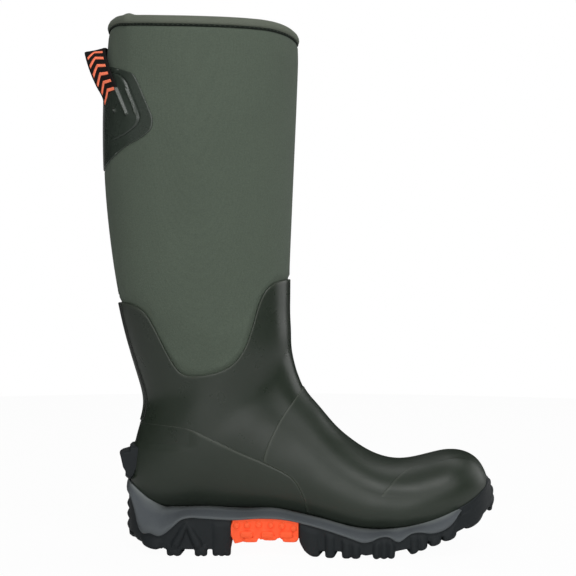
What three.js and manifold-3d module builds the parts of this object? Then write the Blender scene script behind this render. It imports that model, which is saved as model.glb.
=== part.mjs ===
// Insulated hunting boot, right foot, EU size 42: a neoprene bootie with a fleece lining, a laid-up rubber
// lower with overlays, a foam midsole and a lugged rubber outsole.
// Millimetres, +Z up, toe along +X, outer side of the foot at -Y, origin on the ground under the heel pad.
import * as THREE from "three";
import { mergeVertices } from "three/addons/utils/BufferGeometryUtils.js";
import Module from "manifold-3d";

const wasm = await Module();
wasm.setup();

// ---- Driving dimensions -------------------------------------------------------------------------------

// The bootie's outer surface is lofted through these sections, from the toe's tip, round the heel and up
// the leg. Each section spans from a point on the top or front line to one on the sole or back line.
// [top x, top z, back x, back z, half width, centre y, egg, front roundness, back roundness]
// A positive egg makes the back end of the section wider; a roundness of 1 is an ellipse, less is squarer.
const SECTIONS = [
  [239.8, 50.5, 239.8, 50.5, 0, 6, 0, 1, 1],
  [238.8, 57.2, 238.4, 43.8, 13.5, 6, 0, 1, 0.9],
  [235.8, 65.2, 234.6, 38.6, 22.5, 5.6, 0.05, 1, 0.8],
  [230, 72.6, 228, 34.4, 31, 4.8, 0.1, 1, 0.7],
  [220, 77.6, 218, 30.6, 38, 3.4, 0.14, 0.95, 0.62],
  [207, 78.6, 205, 26.4, 42.5, 1.6, 0.16, 0.92, 0.56],
  [189, 74.7, 188, 23.6, 44.5, 0, 0.18, 0.92, 0.53],
  [168, 71.7, 168, 21.4, 45, -1.2, 0.2, 0.92, 0.5],
  [147, 76.2, 148, 20.8, 44, -1.8, 0.22, 0.94, 0.5],
  [128.6, 86.8, 127, 22.6, 41, -2.2, 0.24, 0.95, 0.5],
  [112.5, 100.4, 104, 28, 37.5, -2.6, 0.22, 0.95, 0.52],
  [99.6, 115.4, 80, 33.8, 35, -2.6, 0.16, 0.95, 0.56],
  [90.6, 125.7, 55, 36.6, 34.5, -2.2, 0.08, 0.95, 0.6],
  [85, 134, 25, 37.2, 35.5, -1.4, 0.02, 0.95, 0.64],
  [81.9, 141, -5, 37.4, 37, -0.7, -0.01, 0.95, 0.68],
  [79.4, 147.8, -34, 37.8, 38.5, -0.2, -0.03, 0.93, 0.75],
  [77.6, 154.2, -52, 46, 39, 0, -0.05, 0.92, 0.83],
  [76.2, 160.4, -56.3, 63, 39.5, 0, -0.07, 0.92, 0.9],
  [75.2, 166.6, -52.1, 92, 40.5, 0, -0.09, 0.92, 0.95],
  [74.7, 174, -45.5, 119, 42, 0, -0.1, 0.92, 0.97],
  [74.5, 184, -49.5, 143, 44, 0, -0.08, 0.92, 0.96],
  [73.9, 197, -57.9, 171, 46.3, 0, -0.05, 0.92, 0.95],
  [74, 213, -64.4, 197, 48.6, 0, -0.02, 0.92, 0.94],
  [74.3, 234, -70.6, 230, 51.5, 0, 0, 0.92, 0.93],
  [75.8, 273, -76.1, 272, 55, 0, 0, 0.92, 0.92],
  [78.1, 325, -79.7, 324, 58.5, 0, 0, 0.92, 0.92],
  [80.9, 386, -79.4, 383, 60.5, 0, 0, 0.92, 0.92],
  [81.8, 411, -77, 417, 60.8, 0, 0, 0.92, 0.92],
  [81, 428.5, -75.1, 438.5, 59.5, 0, 0, 0.92, 0.92],
];
const COLLAR = SECTIONS.length - 1; // the last section is the open top

// Layers, as distances out from the bootie's outer surface.
const LINING = [-7.4, -5.1];
const NEOPRENE = [-4.8, 0];
const RUBBER = [0.3, 1.9];
const OVERLAY = [2.2, 3.2];
const SOLE_CLEARANCE = 3.5; // where the midsole and outsole cups start
const STIFFENER = [-1.4, -0.3]; // toe puff and heel counter, let into the neoprene
const GAP = 0.3; // between pieces that touch
const TAPE_THICKNESS = 0.8;
const PATCH_THICKNESS = 1.3;

// Ankle flex: the leg part turns in the foot part along this arc, seen from the side.
const FLEX = { x: 8, z: 152, radius: 78 };
const FLEX_GAP = 1;

// Sole, in plan: the outer edge of midsole and outsole.
const SOLE_OUTLINE = [
  [-61, 0], [-56, -21.5], [-40, -36], [-10, -42], [32, -40.5], [72, -42], [110, -49], [145, -53.5],
  [180, -52.5], [207, -47], [228, -34.5], [242.5, -14], [248, 7], [242.3, 29], [226.5, 43.5], [204, 51.5],
  [175, 52], [142, 48.5], [108, 41.5], [70, 37.5], [32, 39.5], [-10, 41.5], [-40, 36], [-56, 21.5],
];
// Sole, from the side. The midsole lies between its top and bottom lines.
const MIDSOLE_TOP = [
  [-64, 62], [-57.5, 56.5], [-49, 48.2], [-38, 40.6], [-24, 38.3], [8, 38], [38, 35.8], [62, 37.7], [80, 36.2],
  [106, 28.3], [124, 23.4], [142, 21.7], [163, 23.2], [184, 27.3], [199, 32], [213.2, 38],
];
const MIDSOLE_BOTTOM = [
  [213.2, 36.8], [207, 27], [199, 22], [190, 20], [180, 21], [173, 20], [162.5, 13.5], [154.5, 17.5],
  [147.5, 17], [141, 14], [134, 12.8], [123.6, 16], [106, 21.5], [88, 26], [70, 29.3], [49, 30],
  [30, 28.8], [5, 30.4], [-6, 31], [-13.3, 29], [-20.7, 22.6], [-26.7, 17.6], [-32, 15.6], [-39, 17.5],
  [-46, 17], [-50, 25], [-52.5, 35], [-57.5, 46], [-64, 50],
];
const TREAD_BACK = [-70, 0]; // the tread is flat from here to the toe spring
const TOE_SPRING = [[150, 0], [160, 0.6], [172, 3], [186, 8], [200, 12.5], [214, 17.5], [240, 29], [252, 36]];
const LUG_DEPTH = 5.5;
const HEEL_END = 27.5; // front edge of the heel outsole
const FOREFOOT_START = 83; // rear edge of the forefoot outsole
const TOE_BUMPER = [
  [213.6, 38.4], [227.6, 45.9], [235, 50.5], [239, 57.8], [242, 59], [245.4, 57.6], [252, 50],
];
// Edge lugs as [start x, end x] along the side.
const HEEL_LUGS = [[-52, -31], [-25, -13.5], [-1.5, 8], [13.5, HEEL_END]];
const FOREFOOT_LUGS = [
  [FOREFOOT_START, 99], [103.5, 111.5], [117, 132], [142, 160], [172, 186.5], [188.5, 198], [200.5, 212],
  [215, 246],
];
const EDGE_LUG_REACH = 20; // how far an edge lug runs in from the side
const BACK_RIBS = { heights: [13, 22, 31, 40], halfWidth: 15, thickness: 4.5, depth: 4.2, back: -62.2 };
const HEEL_PAD = { length: 26, width: 24 }; // flat block at the origin
const FOREFOOT_BARS = [92, 108, 124.5, 151, 179]; // centres of the middle lugs
const BAR = { length: 9, width: 44, sweep: 7 };
const ARCH_BOTTOM = [[27.8, 10.5], [37, 11.5], [52, 14], [66, 14.2], [82.7, 11.5]];
const ARCH_SETBACK = 1.5; // from the sole's edge

// Upper, from the side.
const RUBBER_TOP = [
  [-90, 207], [-66, 207], [-53, 204], [-43, 198], [-35, 186], [-27, 170], [-18, 154], [-12, 148], [-2, 146.4],
  [18, 150], [30, 157], [38, 168], [44, 184], [50, 205], [54.5, 214.5], [61, 221], [75, 225.4], [95, 226],
];
const VAMP_SEAM = [[87, 137], [79, 126], [71.5, 116], [64, 104], [54, 79], [52, 0]];
const TOE_CAP_EDGE = [[214, 95], [200, 75], [181, 70.5], [162.5, 63.5], [150, 55.5], [145, 47], [143.5, 0]];
const QUARTER_TOP = [
  [-80, 105], [-9, 103.5], [13, 94.5], [36, 83.5], [54, 75.7], [70, 68], [78, 62.5], [86.8, 48], [93, 20],
];
const BACK_STAY = { halfWidth: 13, bottom: 112, top: 206 }; // rubber strip up the back
const SEAM_TAPE = { halfWidth: 8, bottom: 208, top: 310 };
// The puff's rear edge leans; the counter's top falls away towards the front.
const TOE_PUFF = [[178.5, 11], [190.5, 110], [400, 110], [400, 11]];
const HEEL_COUNTER = [[-100, 36], [8, 36], [-11.5, 61.5], [-29, 83], [-100, 87]];
const STIFFENER_MARGIN = 1.2; // how much larger the room let into the neoprene is, seen from the side

// Pull loop and its patch, from the side.
const PATCH = [
  [-100, 405], [-75, 403.5], [-50, 392.5], [-46, 388], [-39.5, 368], [-33.5, 353], [-34.5, 347], [-40, 341],
  [-54, 334], [-66, 326.5], [-75, 318], [-82, 310.5], [-100, 310.5],
];
const LOOP = {
  root: [-81.6, 389], // the loop swings about this line
  rootRadius: 4,
  top: [[-80.2, 416.5], [-96.6, 414.5]],
  halfSpan: 26,
  thickness: 2,
};
const BINDING_HEIGHT = 8;
const BINDING_THICKNESS = 1.2;

// Kick-off spur on the back of the heel, from the side.
const SPUR = [[-50, 89.5], [-56, 89.3], [-57.6, 85.4], [-66.4, 82.6], [-63, 66], [-62, 64.6], [-50, 60]];
const SPUR_HALF_WIDTH = 20;
const SPUR_ROUNDING = { centre: -40, reach: 26.6 }; // the spur's plan is half an ellipse

// Heights of the inner sole pieces above the bootie's sole line.
const INSOLE_BOARD = [7, 9.5];
const FOOTBED = [9.8, 14.4];
const FOOTBED_FROM = -44;
const FOOTBED_TO = 229;
const SHANK = { from: [6, 31.2], to: [82.3, 27.2], halfWidth: 11, thickness: 1.8 }; // ends of its lower face

// ---- Lofted form --------------------------------------------------------------------------------------

const AROUND = 18;
const WIDE = 400; // longer than anything that a cutting prism must pass through
const BELOW = -20; // plan prisms start under the tread
const ABOVE = 120; // and end over the sole
const NORMAL_STEP = 1e-3;

// A cubic spline through values at 0, 1, 2 ... with free ends.
function naturalSpline(values) {
  const last = values.length - 1;
  const slope = new Array(last + 1).fill(0);
  const bend = new Array(last + 1).fill(0);
  for (let i = 1; i < last; i++) {
    const pivot = 4 + slope[i - 1];
    slope[i] = -1 / pivot;
    bend[i] = (6 * (values[i + 1] - 2 * values[i] + values[i - 1]) - bend[i - 1]) / pivot;
  }
  for (let i = last - 1; i > 0; i--) bend[i] += slope[i] * bend[i + 1];
  return (t) => {
    const i = Math.min(Math.max(Math.floor(t), 0), last - 1);
    const b = t - i;
    const a = 1 - b;
    return (
      a * values[i] + b * values[i + 1] + ((a ** 3 - a) * bend[i] + (b ** 3 - b) * bend[i + 1]) / 6
    );
  };
}

const channels = SECTIONS[0].map((_, c) => naturalSpline(SECTIONS.map((row) => row[c])));

// A point of the bootie's outer surface: t runs along the sections and angle runs round one, from the
// front or top line (0) over the inner side (+Y) to the back or sole line (pi).
function formPoint(t, angle) {
  const [topX, topZ, backX, backZ, half, centre, egg, frontRound, backRound] = channels.map((f) => f(t));
  const along = Math.cos(angle);
  const roundness = frontRound + ((backRound - frontRound) * (1 - along)) / 2;
  const side = Math.sin(angle);
  const y = centre + Math.sign(side) * half * Math.abs(side) ** roundness * (1 - egg * along);
  const share = (1 + along) / 2;
  return new THREE.Vector3(backX + (topX - backX) * share, y, backZ + (topZ - backZ) * share);
}

function formNormal(t, angle) {
  if (t < NORMAL_STEP) return new THREE.Vector3(1, 0, 0);
  const before = Math.max(t - NORMAL_STEP, 0);
  const after = Math.min(t + NORMAL_STEP, COLLAR);
  const alongForm = formPoint(after, angle).sub(formPoint(before, angle));
  const roundForm = formPoint(t, angle + NORMAL_STEP).sub(formPoint(t, angle - NORMAL_STEP));
  return roundForm.cross(alongForm).normalize();
}

const offsetPoint = (t, angle, distance) =>
  formPoint(t, angle).addScaledVector(formNormal(t, angle), distance);

// ---- Solids -------------------------------------------------------------------------------------------

function solidOf(geometry) {
  const plain = geometry.clone();
  plain.deleteAttribute("normal");
  plain.deleteAttribute("uv");
  const merged = mergeVertices(plain, 1e-4);
  return new wasm.Manifold(
    new wasm.Mesh({
      numProp: 3,
      vertProperties: new Float32Array(merged.attributes.position.array),
      triVerts: new Uint32Array(merged.index.array),
    }),
  );
}

function geometryOf(solid) {
  const mesh = solid.getMesh();
  const positions = new Float32Array(mesh.numVert * 3);
  for (let i = 0; i < mesh.numVert; i++) {
    positions.set(mesh.vertProperties.subarray(i * mesh.numProp, i * mesh.numProp + 3), i * 3);
  }
  const geometry = new THREE.BufferGeometry();
  geometry.setAttribute("position", new THREE.BufferAttribute(positions, 3));
  geometry.setIndex(new THREE.BufferAttribute(mesh.triVerts, 1));
  geometry.computeVertexNormals();
  return geometry;
}

// Rows of the form's surface at one distance, from the toe's tip (one point) to the collar.
function formRows(distance) {
  const rows = [[offsetPoint(0, 0, distance)]];
  for (let i = 1; i <= COLLAR; i++) {
    rows.push(
      Array.from({ length: AROUND }, (_, k) => offsetPoint(i, (2 * Math.PI * k) / AROUND, distance)),
    );
  }
  return rows;
}

// Triangles between successive rows, the first of which is a single point.
function skin(rows, positions, flip) {
  const push = (a, b, c) => (flip ? positions.push(a, b, c) : positions.push(a, c, b));
  for (let k = 0; k < AROUND; k++) {
    const next = (k + 1) % AROUND;
    push(rows[0][0], rows[1][k], rows[1][next]);
    for (let i = 1; i < rows.length - 1; i++) {
      push(rows[i][k], rows[i + 1][k], rows[i + 1][next]);
      push(rows[i][k], rows[i + 1][next], rows[i][next]);
    }
  }
}

function trianglesToSolid(corners) {
  const array = new Float32Array(corners.flatMap((p) => [p.x, p.y, p.z]));
  const geometry = new THREE.BufferGeometry();
  geometry.setAttribute("position", new THREE.BufferAttribute(array, 3));
  return solidOf(geometry);
}

// The whole form, filled, out to one distance.
function formSolid(distance) {
  const rows = formRows(distance);
  const corners = [];
  skin(rows, corners, false);
  const rim = rows[COLLAR];
  for (let k = 1; k < AROUND - 1; k++) corners.push(rim[0], rim[k], rim[k + 1]);
  return trianglesToSolid(corners);
}

// A sock-shaped layer between two distances, open at the collar.
function layer([inner, outer]) {
  const outside = formRows(outer);
  const inside = formRows(inner);
  const corners = [];
  skin(outside, corners, false);
  skin(inside, corners, true);
  for (let k = 0; k < AROUND; k++) {
    const next = (k + 1) % AROUND;
    const [a, b] = [outside[COLLAR][k], outside[COLLAR][next]];
    const [c, d] = [inside[COLLAR][k], inside[COLLAR][next]];
    corners.push(a, d, c, a, b, d);
  }
  return trianglesToSolid(corners);
}

const toShape = (points) => new THREE.Shape(points.map(([x, y]) => new THREE.Vector2(x, y)));

// A smooth line through some points, as a list of points.
const smooth = (points, divisions = points.length * 2) =>
  new THREE.SplineCurve(points.map(([x, y]) => new THREE.Vector2(x, y)))
    .getPoints(divisions)
    .map((p) => [p.x, p.y]);

// A side-view outline in x and z, extruded across the boot.
function sidePrism(points, halfWidth = WIDE / 2) {
  const outline = THREE.ShapeUtils.isClockWise(toShape(points).getPoints()) ? [...points].reverse() : points;
  const geometry = new THREE.ExtrudeGeometry(toShape(outline), { depth: 2 * halfWidth, bevelEnabled: false });
  geometry.rotateX(Math.PI / 2);
  geometry.translate(0, halfWidth, 0);
  return solidOf(geometry);
}

// A plan outline in x and y, extruded upwards.
function planPrism(points, bottom, top) {
  const outline = THREE.ShapeUtils.isClockWise(toShape(points).getPoints()) ? [...points].reverse() : points;
  const geometry = new THREE.ExtrudeGeometry(toShape(outline), { depth: top - bottom, bevelEnabled: false });
  geometry.translate(0, 0, bottom);
  return solidOf(geometry);
}

const unionOf = (solids) => solids.reduce((a, b) => a.add(b));

// The flex arc, from the rear end, down and round to the front end.
const flexArc = (radius) =>
  Array.from({ length: 17 }, (_, i) => {
    const angle = Math.PI + (Math.PI * i) / 16;
    return [FLEX.x + radius * Math.cos(angle), FLEX.z + radius * Math.sin(angle)];
  });
const legRegion = sidePrism([
  ...flexArc(FLEX.radius),
  [WIDE, FLEX.z],
  [WIDE, 2 * WIDE],
  [-WIDE, 2 * WIDE],
  [-WIDE, FLEX.z],
]);
const footRegion = sidePrism([
  ...flexArc(FLEX.radius + FLEX_GAP),
  [WIDE, FLEX.z - FLEX_GAP],
  [WIDE, -WIDE],
  [-WIDE, -WIDE],
  [-WIDE, FLEX.z - FLEX_GAP],
]);

const shifted = (points, dx, dz) => points.map(([x, z]) => [x + dx, z + dz]);

// Everything between two places along the boot, over the sole's height.
const span = (from, to) => sidePrism([[from, BELOW], [to, BELOW], [to, ABOVE], [from, ABOVE]]);

// A strip up the back of the boot.
const backStrip = ({ halfWidth, bottom, top }) =>
  planPrism([[-WIDE, -halfWidth], [0, -halfWidth], [0, halfWidth], [-WIDE, halfWidth]], bottom, top);

// ---- Upper --------------------------------------------------------------------------------------------

const neoprene = layer(NEOPRENE);
const lining = layer(LINING);
const rubber = layer(RUBBER).intersect(sidePrism([...smooth(RUBBER_TOP), [95, -WIDE], [-90, -WIDE]]));
const overlay = layer(OVERLAY);

// The part of a layer that lies below and in front of a side-view line that runs down to the sole.
const aheadOf = (line) => sidePrism([...smooth(line), [WIDE, -WIDE], [WIDE, 2 * line[0][1]]]);
const capRegion = aheadOf(TOE_CAP_EDGE);
const capRoom = aheadOf(shifted(TOE_CAP_EDGE, -GAP, 0));
const underQuarterTop = (margin) =>
  sidePrism([...smooth(shifted(QUARTER_TOP, margin, margin)), [93 + margin, -WIDE], [-80, -WIDE]]);

const footShell = () => rubber.intersect(footRegion);
const ankleGaiter = () => rubber.intersect(legRegion);
const toeCap = () => overlay.intersect(capRegion);
const heelQuarter = () => overlay.intersect(footRegion).intersect(underQuarterTop(0));
const vampOverlay = () =>
  overlay
    .intersect(footRegion)
    .intersect(aheadOf(VAMP_SEAM))
    .subtract(capRoom)
    .subtract(underQuarterTop(GAP));
const backStay = () => overlay.intersect(backStrip(BACK_STAY)).intersect(legRegion);
const seamTape = () => layer([GAP, GAP + TAPE_THICKNESS]).intersect(backStrip(SEAM_TAPE));
const pullPatch = () => layer([GAP, GAP + PATCH_THICKNESS]).intersect(sidePrism(PATCH));

const toePuff = () => layer(STIFFENER).intersect(sidePrism(TOE_PUFF));
const heelCounter = () => layer(STIFFENER).intersect(sidePrism(HEEL_COUNTER));

// The room for both stiffeners in the foot's neoprene. It is open to the outside.
function stiffenerRoom() {
  const sheet = layer([STIFFENER[0] - GAP, NEOPRENE[1] + GAP]);
  const puffRoom = sidePrism(shifted(TOE_PUFF, -STIFFENER_MARGIN, 0));
  const counterRoom = sidePrism(shifted(HEEL_COUNTER, STIFFENER_MARGIN, STIFFENER_MARGIN));
  const counterFoot = sidePrism(shifted(HEEL_COUNTER, STIFFENER_MARGIN, -STIFFENER_MARGIN));
  return sheet.intersect(puffRoom.add(counterRoom).add(counterFoot));
}

const bootieFoot = () => neoprene.intersect(footRegion).subtract(stiffenerRoom());
const bootieShaft = () => neoprene.intersect(legRegion);
const footLining = () => lining.intersect(footRegion);
const shaftLining = () => lining.intersect(legRegion);

// The upper end of the leg, filled out to one distance and carried on above the collar's edge by a rise.
function collarPlug(distance, rise) {
  const ring = (t, up) =>
    Array.from({ length: AROUND }, (_, k) => {
      const point = offsetPoint(t, (2 * Math.PI * k) / AROUND, distance);
      point.z += up;
      return point;
    });
  const rings = [ring(COLLAR - 1, 0), ring(COLLAR, 0), ring(COLLAR, rise)];
  const corners = [];
  for (let k = 0; k < AROUND; k++) {
    const next = (k + 1) % AROUND;
    for (let i = 0; i < 2; i++) {
      corners.push(rings[i][k], rings[i + 1][next], rings[i + 1][k]);
      corners.push(rings[i][k], rings[i][next], rings[i + 1][next]);
    }
    if (k > 0 && k < AROUND - 1) {
      corners.push(rings[0][0], rings[0][next], rings[0][k]);
      corners.push(rings[2][0], rings[2][k], rings[2][next]);
    }
  }
  return trianglesToSolid(corners);
}

// A tape folded over the collar's edge, with a leg inside and a leg outside the wall.
function collarBinding() {
  const wallInside = LINING[0] - GAP;
  const [frontX, frontZ, backX, backZ] = SECTIONS[COLLAR];
  const slope = (frontZ - backZ) / (frontX - backX);
  const hem = (x) => frontZ + slope * (x - frontX) - BINDING_HEIGHT;
  const belowHem = sidePrism([[-WIDE, hem(-WIDE)], [WIDE, hem(WIDE)], [WIDE, -WIDE], [-WIDE, -WIDE]]);
  const wall = collarPlug(GAP, 2 * GAP).subtract(collarPlug(wallInside, WIDE));
  return collarPlug(GAP + BINDING_THICKNESS, 2 * GAP + BINDING_THICKNESS)
    .subtract(collarPlug(wallInside - BINDING_THICKNESS, WIDE))
    .subtract(wall)
    .subtract(belowHem);
}

// Two legs and a crossbar, rounded where the legs swing on the patch.
function pullLoop() {
  const { root, rootRadius, top, halfSpan, thickness } = LOOP;
  const roundedRoot = Array.from({ length: 9 }, (_, i) => {
    const angle = Math.PI + (Math.PI * i) / 8;
    return [root[0] + rootRadius * Math.cos(angle), root[1] + rootRadius * Math.sin(angle)];
  });
  const opening = sidePrism(
    [
      [-WIDE, root[1] - 2 * rootRadius],
      [0, root[1] - 2 * rootRadius],
      [0, top[0][1] - thickness],
      [-WIDE, top[1][1] - thickness],
    ],
    halfSpan - thickness,
  );
  return sidePrism([...roundedRoot, ...top], halfSpan).subtract(opening);
}

// ---- Sole ---------------------------------------------------------------------------------------------

const solePlan = new THREE.CatmullRomCurve3(
  SOLE_OUTLINE.map(([x, y]) => new THREE.Vector3(x, y, 0)),
  true,
  "centripetal",
)
  .getPoints(SOLE_OUTLINE.length * 2)
  .slice(0, -1)
  .map((p) => [p.x, p.y]);
const soleEnds = [Math.min(...solePlan.map(([x]) => x)), Math.max(...solePlan.map(([x]) => x))];
const soleMiddle = (soleEnds[0] + soleEnds[1]) / 2;
const soleHalfLength = (soleEnds[1] - soleEnds[0]) / 2;
const SOLE_HALF_WIDTH = 44; // typical; the margins below scale with it

// The sole's column, narrowed by about a margin all round.
const soleColumn = (margin = 0) =>
  planPrism(
    solePlan.map(([x, y]) => [
      soleMiddle + (x - soleMiddle) * (1 - margin / soleHalfLength),
      y * (1 - margin / SOLE_HALF_WIDTH),
    ]),
    BELOW,
    ABOVE,
  );
const sole = soleColumn();
const upperRoom = formSolid(SOLE_CLEARANCE);
const treadLine = [TREAD_BACK, ...smooth(TOE_SPRING, 12)];
const treadEnds = [treadLine[0][0], treadLine[treadLine.length - 1][0]];
const lugBand = sidePrism([...treadLine, ...shifted(treadLine, 0, LUG_DEPTH + 1).reverse()]);
const aboveRecess = sidePrism([
  ...shifted(treadLine, 0, LUG_DEPTH),
  [treadEnds[1], ABOVE],
  [treadEnds[0], ABOVE],
]);
const midsoleFront = MIDSOLE_BOTTOM[0];
const belowMidsole = sidePrism([
  ...smooth(MIDSOLE_BOTTOM, 56),
  [-64, BELOW],
  [midsoleFront[0] + 0.8, BELOW],
  [midsoleFront[0] + 0.8, midsoleFront[1]],
]);

// The shank, grown by a margin all round, or by a headroom above.
function shankBody(margin, headroom = margin) {
  const { from, to, halfWidth, thickness } = SHANK;
  return sidePrism(
    [
      [from[0] - margin, from[1] - margin],
      [to[0] + margin, to[1] - margin],
      [to[0] + margin, to[1] + thickness + headroom],
      [from[0] - margin, from[1] + thickness + headroom],
    ],
    halfWidth + margin,
  );
}

const shank = () => shankBody(0);
const shankRecess = shankBody(GAP, 20); // open towards the foot

function midsole() {
  const outline = [...smooth(MIDSOLE_TOP, 30), ...shifted(smooth(MIDSOLE_BOTTOM, 56), 0, GAP)];
  return sole.intersect(sidePrism(outline)).subtract(upperRoom).subtract(shankRecess);
}

// Edge lugs and middle lugs, between the tread line and the recess between them.
function lugs(edgeLugs, middle) {
  const blocks = unionOf(edgeLugs.map(([from, to]) => span(from, to)));
  return blocks.subtract(soleColumn(EDGE_LUG_REACH)).add(middle).intersect(lugBand).intersect(sole);
}

// A middle lug of the forefoot, swept back at both ends.
function forefootBar(x) {
  const { length, width, sweep } = BAR;
  const front = x + length / 2;
  const rear = x - length / 2;
  const outline = [
    [rear, 0],
    [rear - sweep, width / 2],
    [front - sweep, width / 2],
    [front, 0],
    [front - sweep, -width / 2],
    [rear - sweep, -width / 2],
  ];
  return planPrism(outline, BELOW, ABOVE);
}

// A moulded rib across the back of the heel.
function backRib(z) {
  const { halfWidth, thickness, depth, back } = BACK_RIBS;
  const outline = [
    [back, z],
    [back, z + thickness],
    [back + depth, z + thickness + 2],
    [back + depth, z - 1],
  ];
  return sidePrism(outline, halfWidth).intersect(belowMidsole);
}

function heelOutsole() {
  const { length, width } = HEEL_PAD;
  const [x, y] = [length / 2, width / 2];
  const pad = planPrism([[-x, -y], [x, -y], [x, y], [-x, y]], BELOW, ABOVE);
  const slab = sole.intersect(aboveRecess).intersect(span(treadEnds[0], HEEL_END)).intersect(belowMidsole);
  const ribs = unionOf(BACK_RIBS.heights.map(backRib));
  return slab.add(lugs(HEEL_LUGS, pad)).add(ribs).subtract(upperRoom).subtract(shankRecess);
}

function forefootOutsole() {
  const bumper = sidePrism([...TOE_BUMPER, [treadEnds[1], BELOW], [TOE_BUMPER[0][0], BELOW]]);
  const underMidsole = belowMidsole.intersect(span(0, TOE_BUMPER[0][0]));
  const forefoot = span(FOREFOOT_START, treadEnds[1]);
  const slab = sole.intersect(aboveRecess).intersect(underMidsole.add(bumper));
  const bars = unionOf(FOREFOOT_BARS.map(forefootBar));
  return slab.add(lugs(FOREFOOT_LUGS, bars)).intersect(forefoot).subtract(upperRoom);
}

function archInsert() {
  const front = FOREFOOT_START - GAP;
  const rear = HEEL_END + GAP;
  const block = sidePrism([...ARCH_BOTTOM, [front, ABOVE / 2], [rear, ABOVE / 2]]);
  return soleColumn(ARCH_SETBACK).intersect(block).intersect(belowMidsole).subtract(shankRecess);
}

function heelSpur() {
  const { centre, reach } = SPUR_ROUNDING;
  const column = planPrism(
    Array.from({ length: 16 }, (_, i) => {
      const angle = Math.PI / 2 + (Math.PI * i) / 15;
      return [centre + reach * Math.cos(angle), SPUR_HALF_WIDTH * Math.sin(angle)];
    }),
    0,
    ABOVE,
  );
  return sidePrism(SPUR).intersect(column).subtract(upperRoom);
}

// ---- Inner sole ---------------------------------------------------------------------------------------

const soleLine = SECTIONS.slice(2, 16).map((row) => [row[2], row[3]]);
const insideLining = formSolid(LINING[0] - GAP);

// A sheet that follows the sole line, between two heights above it, inside the lining.
const soleSheet = ([bottom, top]) =>
  sidePrism([...shifted(soleLine, 0, bottom), ...shifted(soleLine, 0, top).reverse()])
    .intersect(span(FOOTBED_FROM, FOOTBED_TO))
    .intersect(insideLining);

const insoleBoard = () => soleSheet(INSOLE_BOARD);
const footbed = () => soleSheet(FOOTBED);

// ---- Assembly -----------------------------------------------------------------------------------------

const finish = (color, roughness) => new THREE.MeshStandardMaterial({ color, roughness, metalness: 0 });
const RUBBER_GREEN = finish(0x3a4038, 0.5);
const OVERLAY_GREEN = finish(0x3d433b, 0.48);
const NEOPRENE_GREEN = finish(0x545d52, 0.95);
const BINDING_GREEN = finish(0x3c4039, 0.85);
const LINING_GREY = finish(0x6b6c66, 1);
const MIDSOLE_GREY = finish(0x484d50, 0.75);
const TREAD_BLACK = finish(0x25292b, 0.7);
const ARCH_ORANGE = finish(0xff5a2b, 0.6);
const WEBBING_BLACK = finish(0x1f1c1c, 0.9);
const BOARD_TAN = finish(0xa58d66, 0.9);
const STIFFENER_WHITE = finish(0xcfc9b8, 0.7);
const STEEL = new THREE.MeshStandardMaterial({ color: 0x9a9ea2, roughness: 0.35, metalness: 1 });
const FOOTBED_GREY = finish(0x2f3331, 0.95);

const boot = new THREE.Group();
const foot = new THREE.Group();
const leg = new THREE.Group();
boot.add(foot, leg);

function place(group, name, solid, material) {
  const mesh = new THREE.Mesh(geometryOf(solid), material);
  mesh.name = name;
  group.add(mesh);
}

place(foot, "heel_outsole", heelOutsole(), TREAD_BLACK);
place(foot, "forefoot_outsole", forefootOutsole(), TREAD_BLACK);
place(foot, "arch_insert", archInsert(), ARCH_ORANGE);
place(foot, "midsole", midsole(), MIDSOLE_GREY);
place(foot, "shank", shank(), STEEL);
place(foot, "heel_spur", heelSpur(), TREAD_BLACK);
place(foot, "foot_shell", footShell(), RUBBER_GREEN);
place(foot, "toe_cap", toeCap(), OVERLAY_GREEN);
place(foot, "vamp_overlay", vampOverlay(), OVERLAY_GREEN);
place(foot, "heel_quarter", heelQuarter(), OVERLAY_GREEN);
place(foot, "toe_puff", toePuff(), STIFFENER_WHITE);
place(foot, "heel_counter", heelCounter(), STIFFENER_WHITE);
place(foot, "bootie_foot", bootieFoot(), NEOPRENE_GREEN);
place(foot, "foot_lining", footLining(), LINING_GREY);
place(foot, "insole_board", insoleBoard(), BOARD_TAN);
place(foot, "footbed", footbed(), FOOTBED_GREY);
place(leg, "ankle_gaiter", ankleGaiter(), RUBBER_GREEN);
place(leg, "back_stay", backStay(), OVERLAY_GREEN);
place(leg, "bootie_shaft", bootieShaft(), NEOPRENE_GREEN);
place(leg, "shaft_lining", shaftLining(), LINING_GREY);
place(leg, "back_seam_tape", seamTape(), BINDING_GREEN);
place(leg, "pull_patch", pullPatch(), OVERLAY_GREEN);
place(leg, "collar_binding", collarBinding(), BINDING_GREEN);
place(leg, "pull_loop", pullLoop(), WEBBING_BLACK);

export default boot;
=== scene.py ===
"""Looks of the insulated hunting boot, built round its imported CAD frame.
Lengths are millimetres, as in the CAD: +X to the toe, -Y to the outer side, +Z up. make_object() turns them
into metres. Colours are sRGB values from 0 to 255."""
import math

import bmesh
import bpy
import numpy as np
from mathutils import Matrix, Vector
from mathutils.bvhtree import BVHTree


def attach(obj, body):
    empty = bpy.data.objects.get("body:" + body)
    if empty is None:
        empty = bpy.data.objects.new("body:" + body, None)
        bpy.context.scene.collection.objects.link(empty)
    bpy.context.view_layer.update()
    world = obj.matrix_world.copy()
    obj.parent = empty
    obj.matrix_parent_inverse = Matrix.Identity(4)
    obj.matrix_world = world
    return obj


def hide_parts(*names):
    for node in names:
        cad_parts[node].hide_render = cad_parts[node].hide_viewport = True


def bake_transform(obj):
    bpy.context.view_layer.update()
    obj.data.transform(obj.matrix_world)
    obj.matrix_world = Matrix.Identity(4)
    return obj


MM = 0.001
TURN = 2 * math.pi

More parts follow.
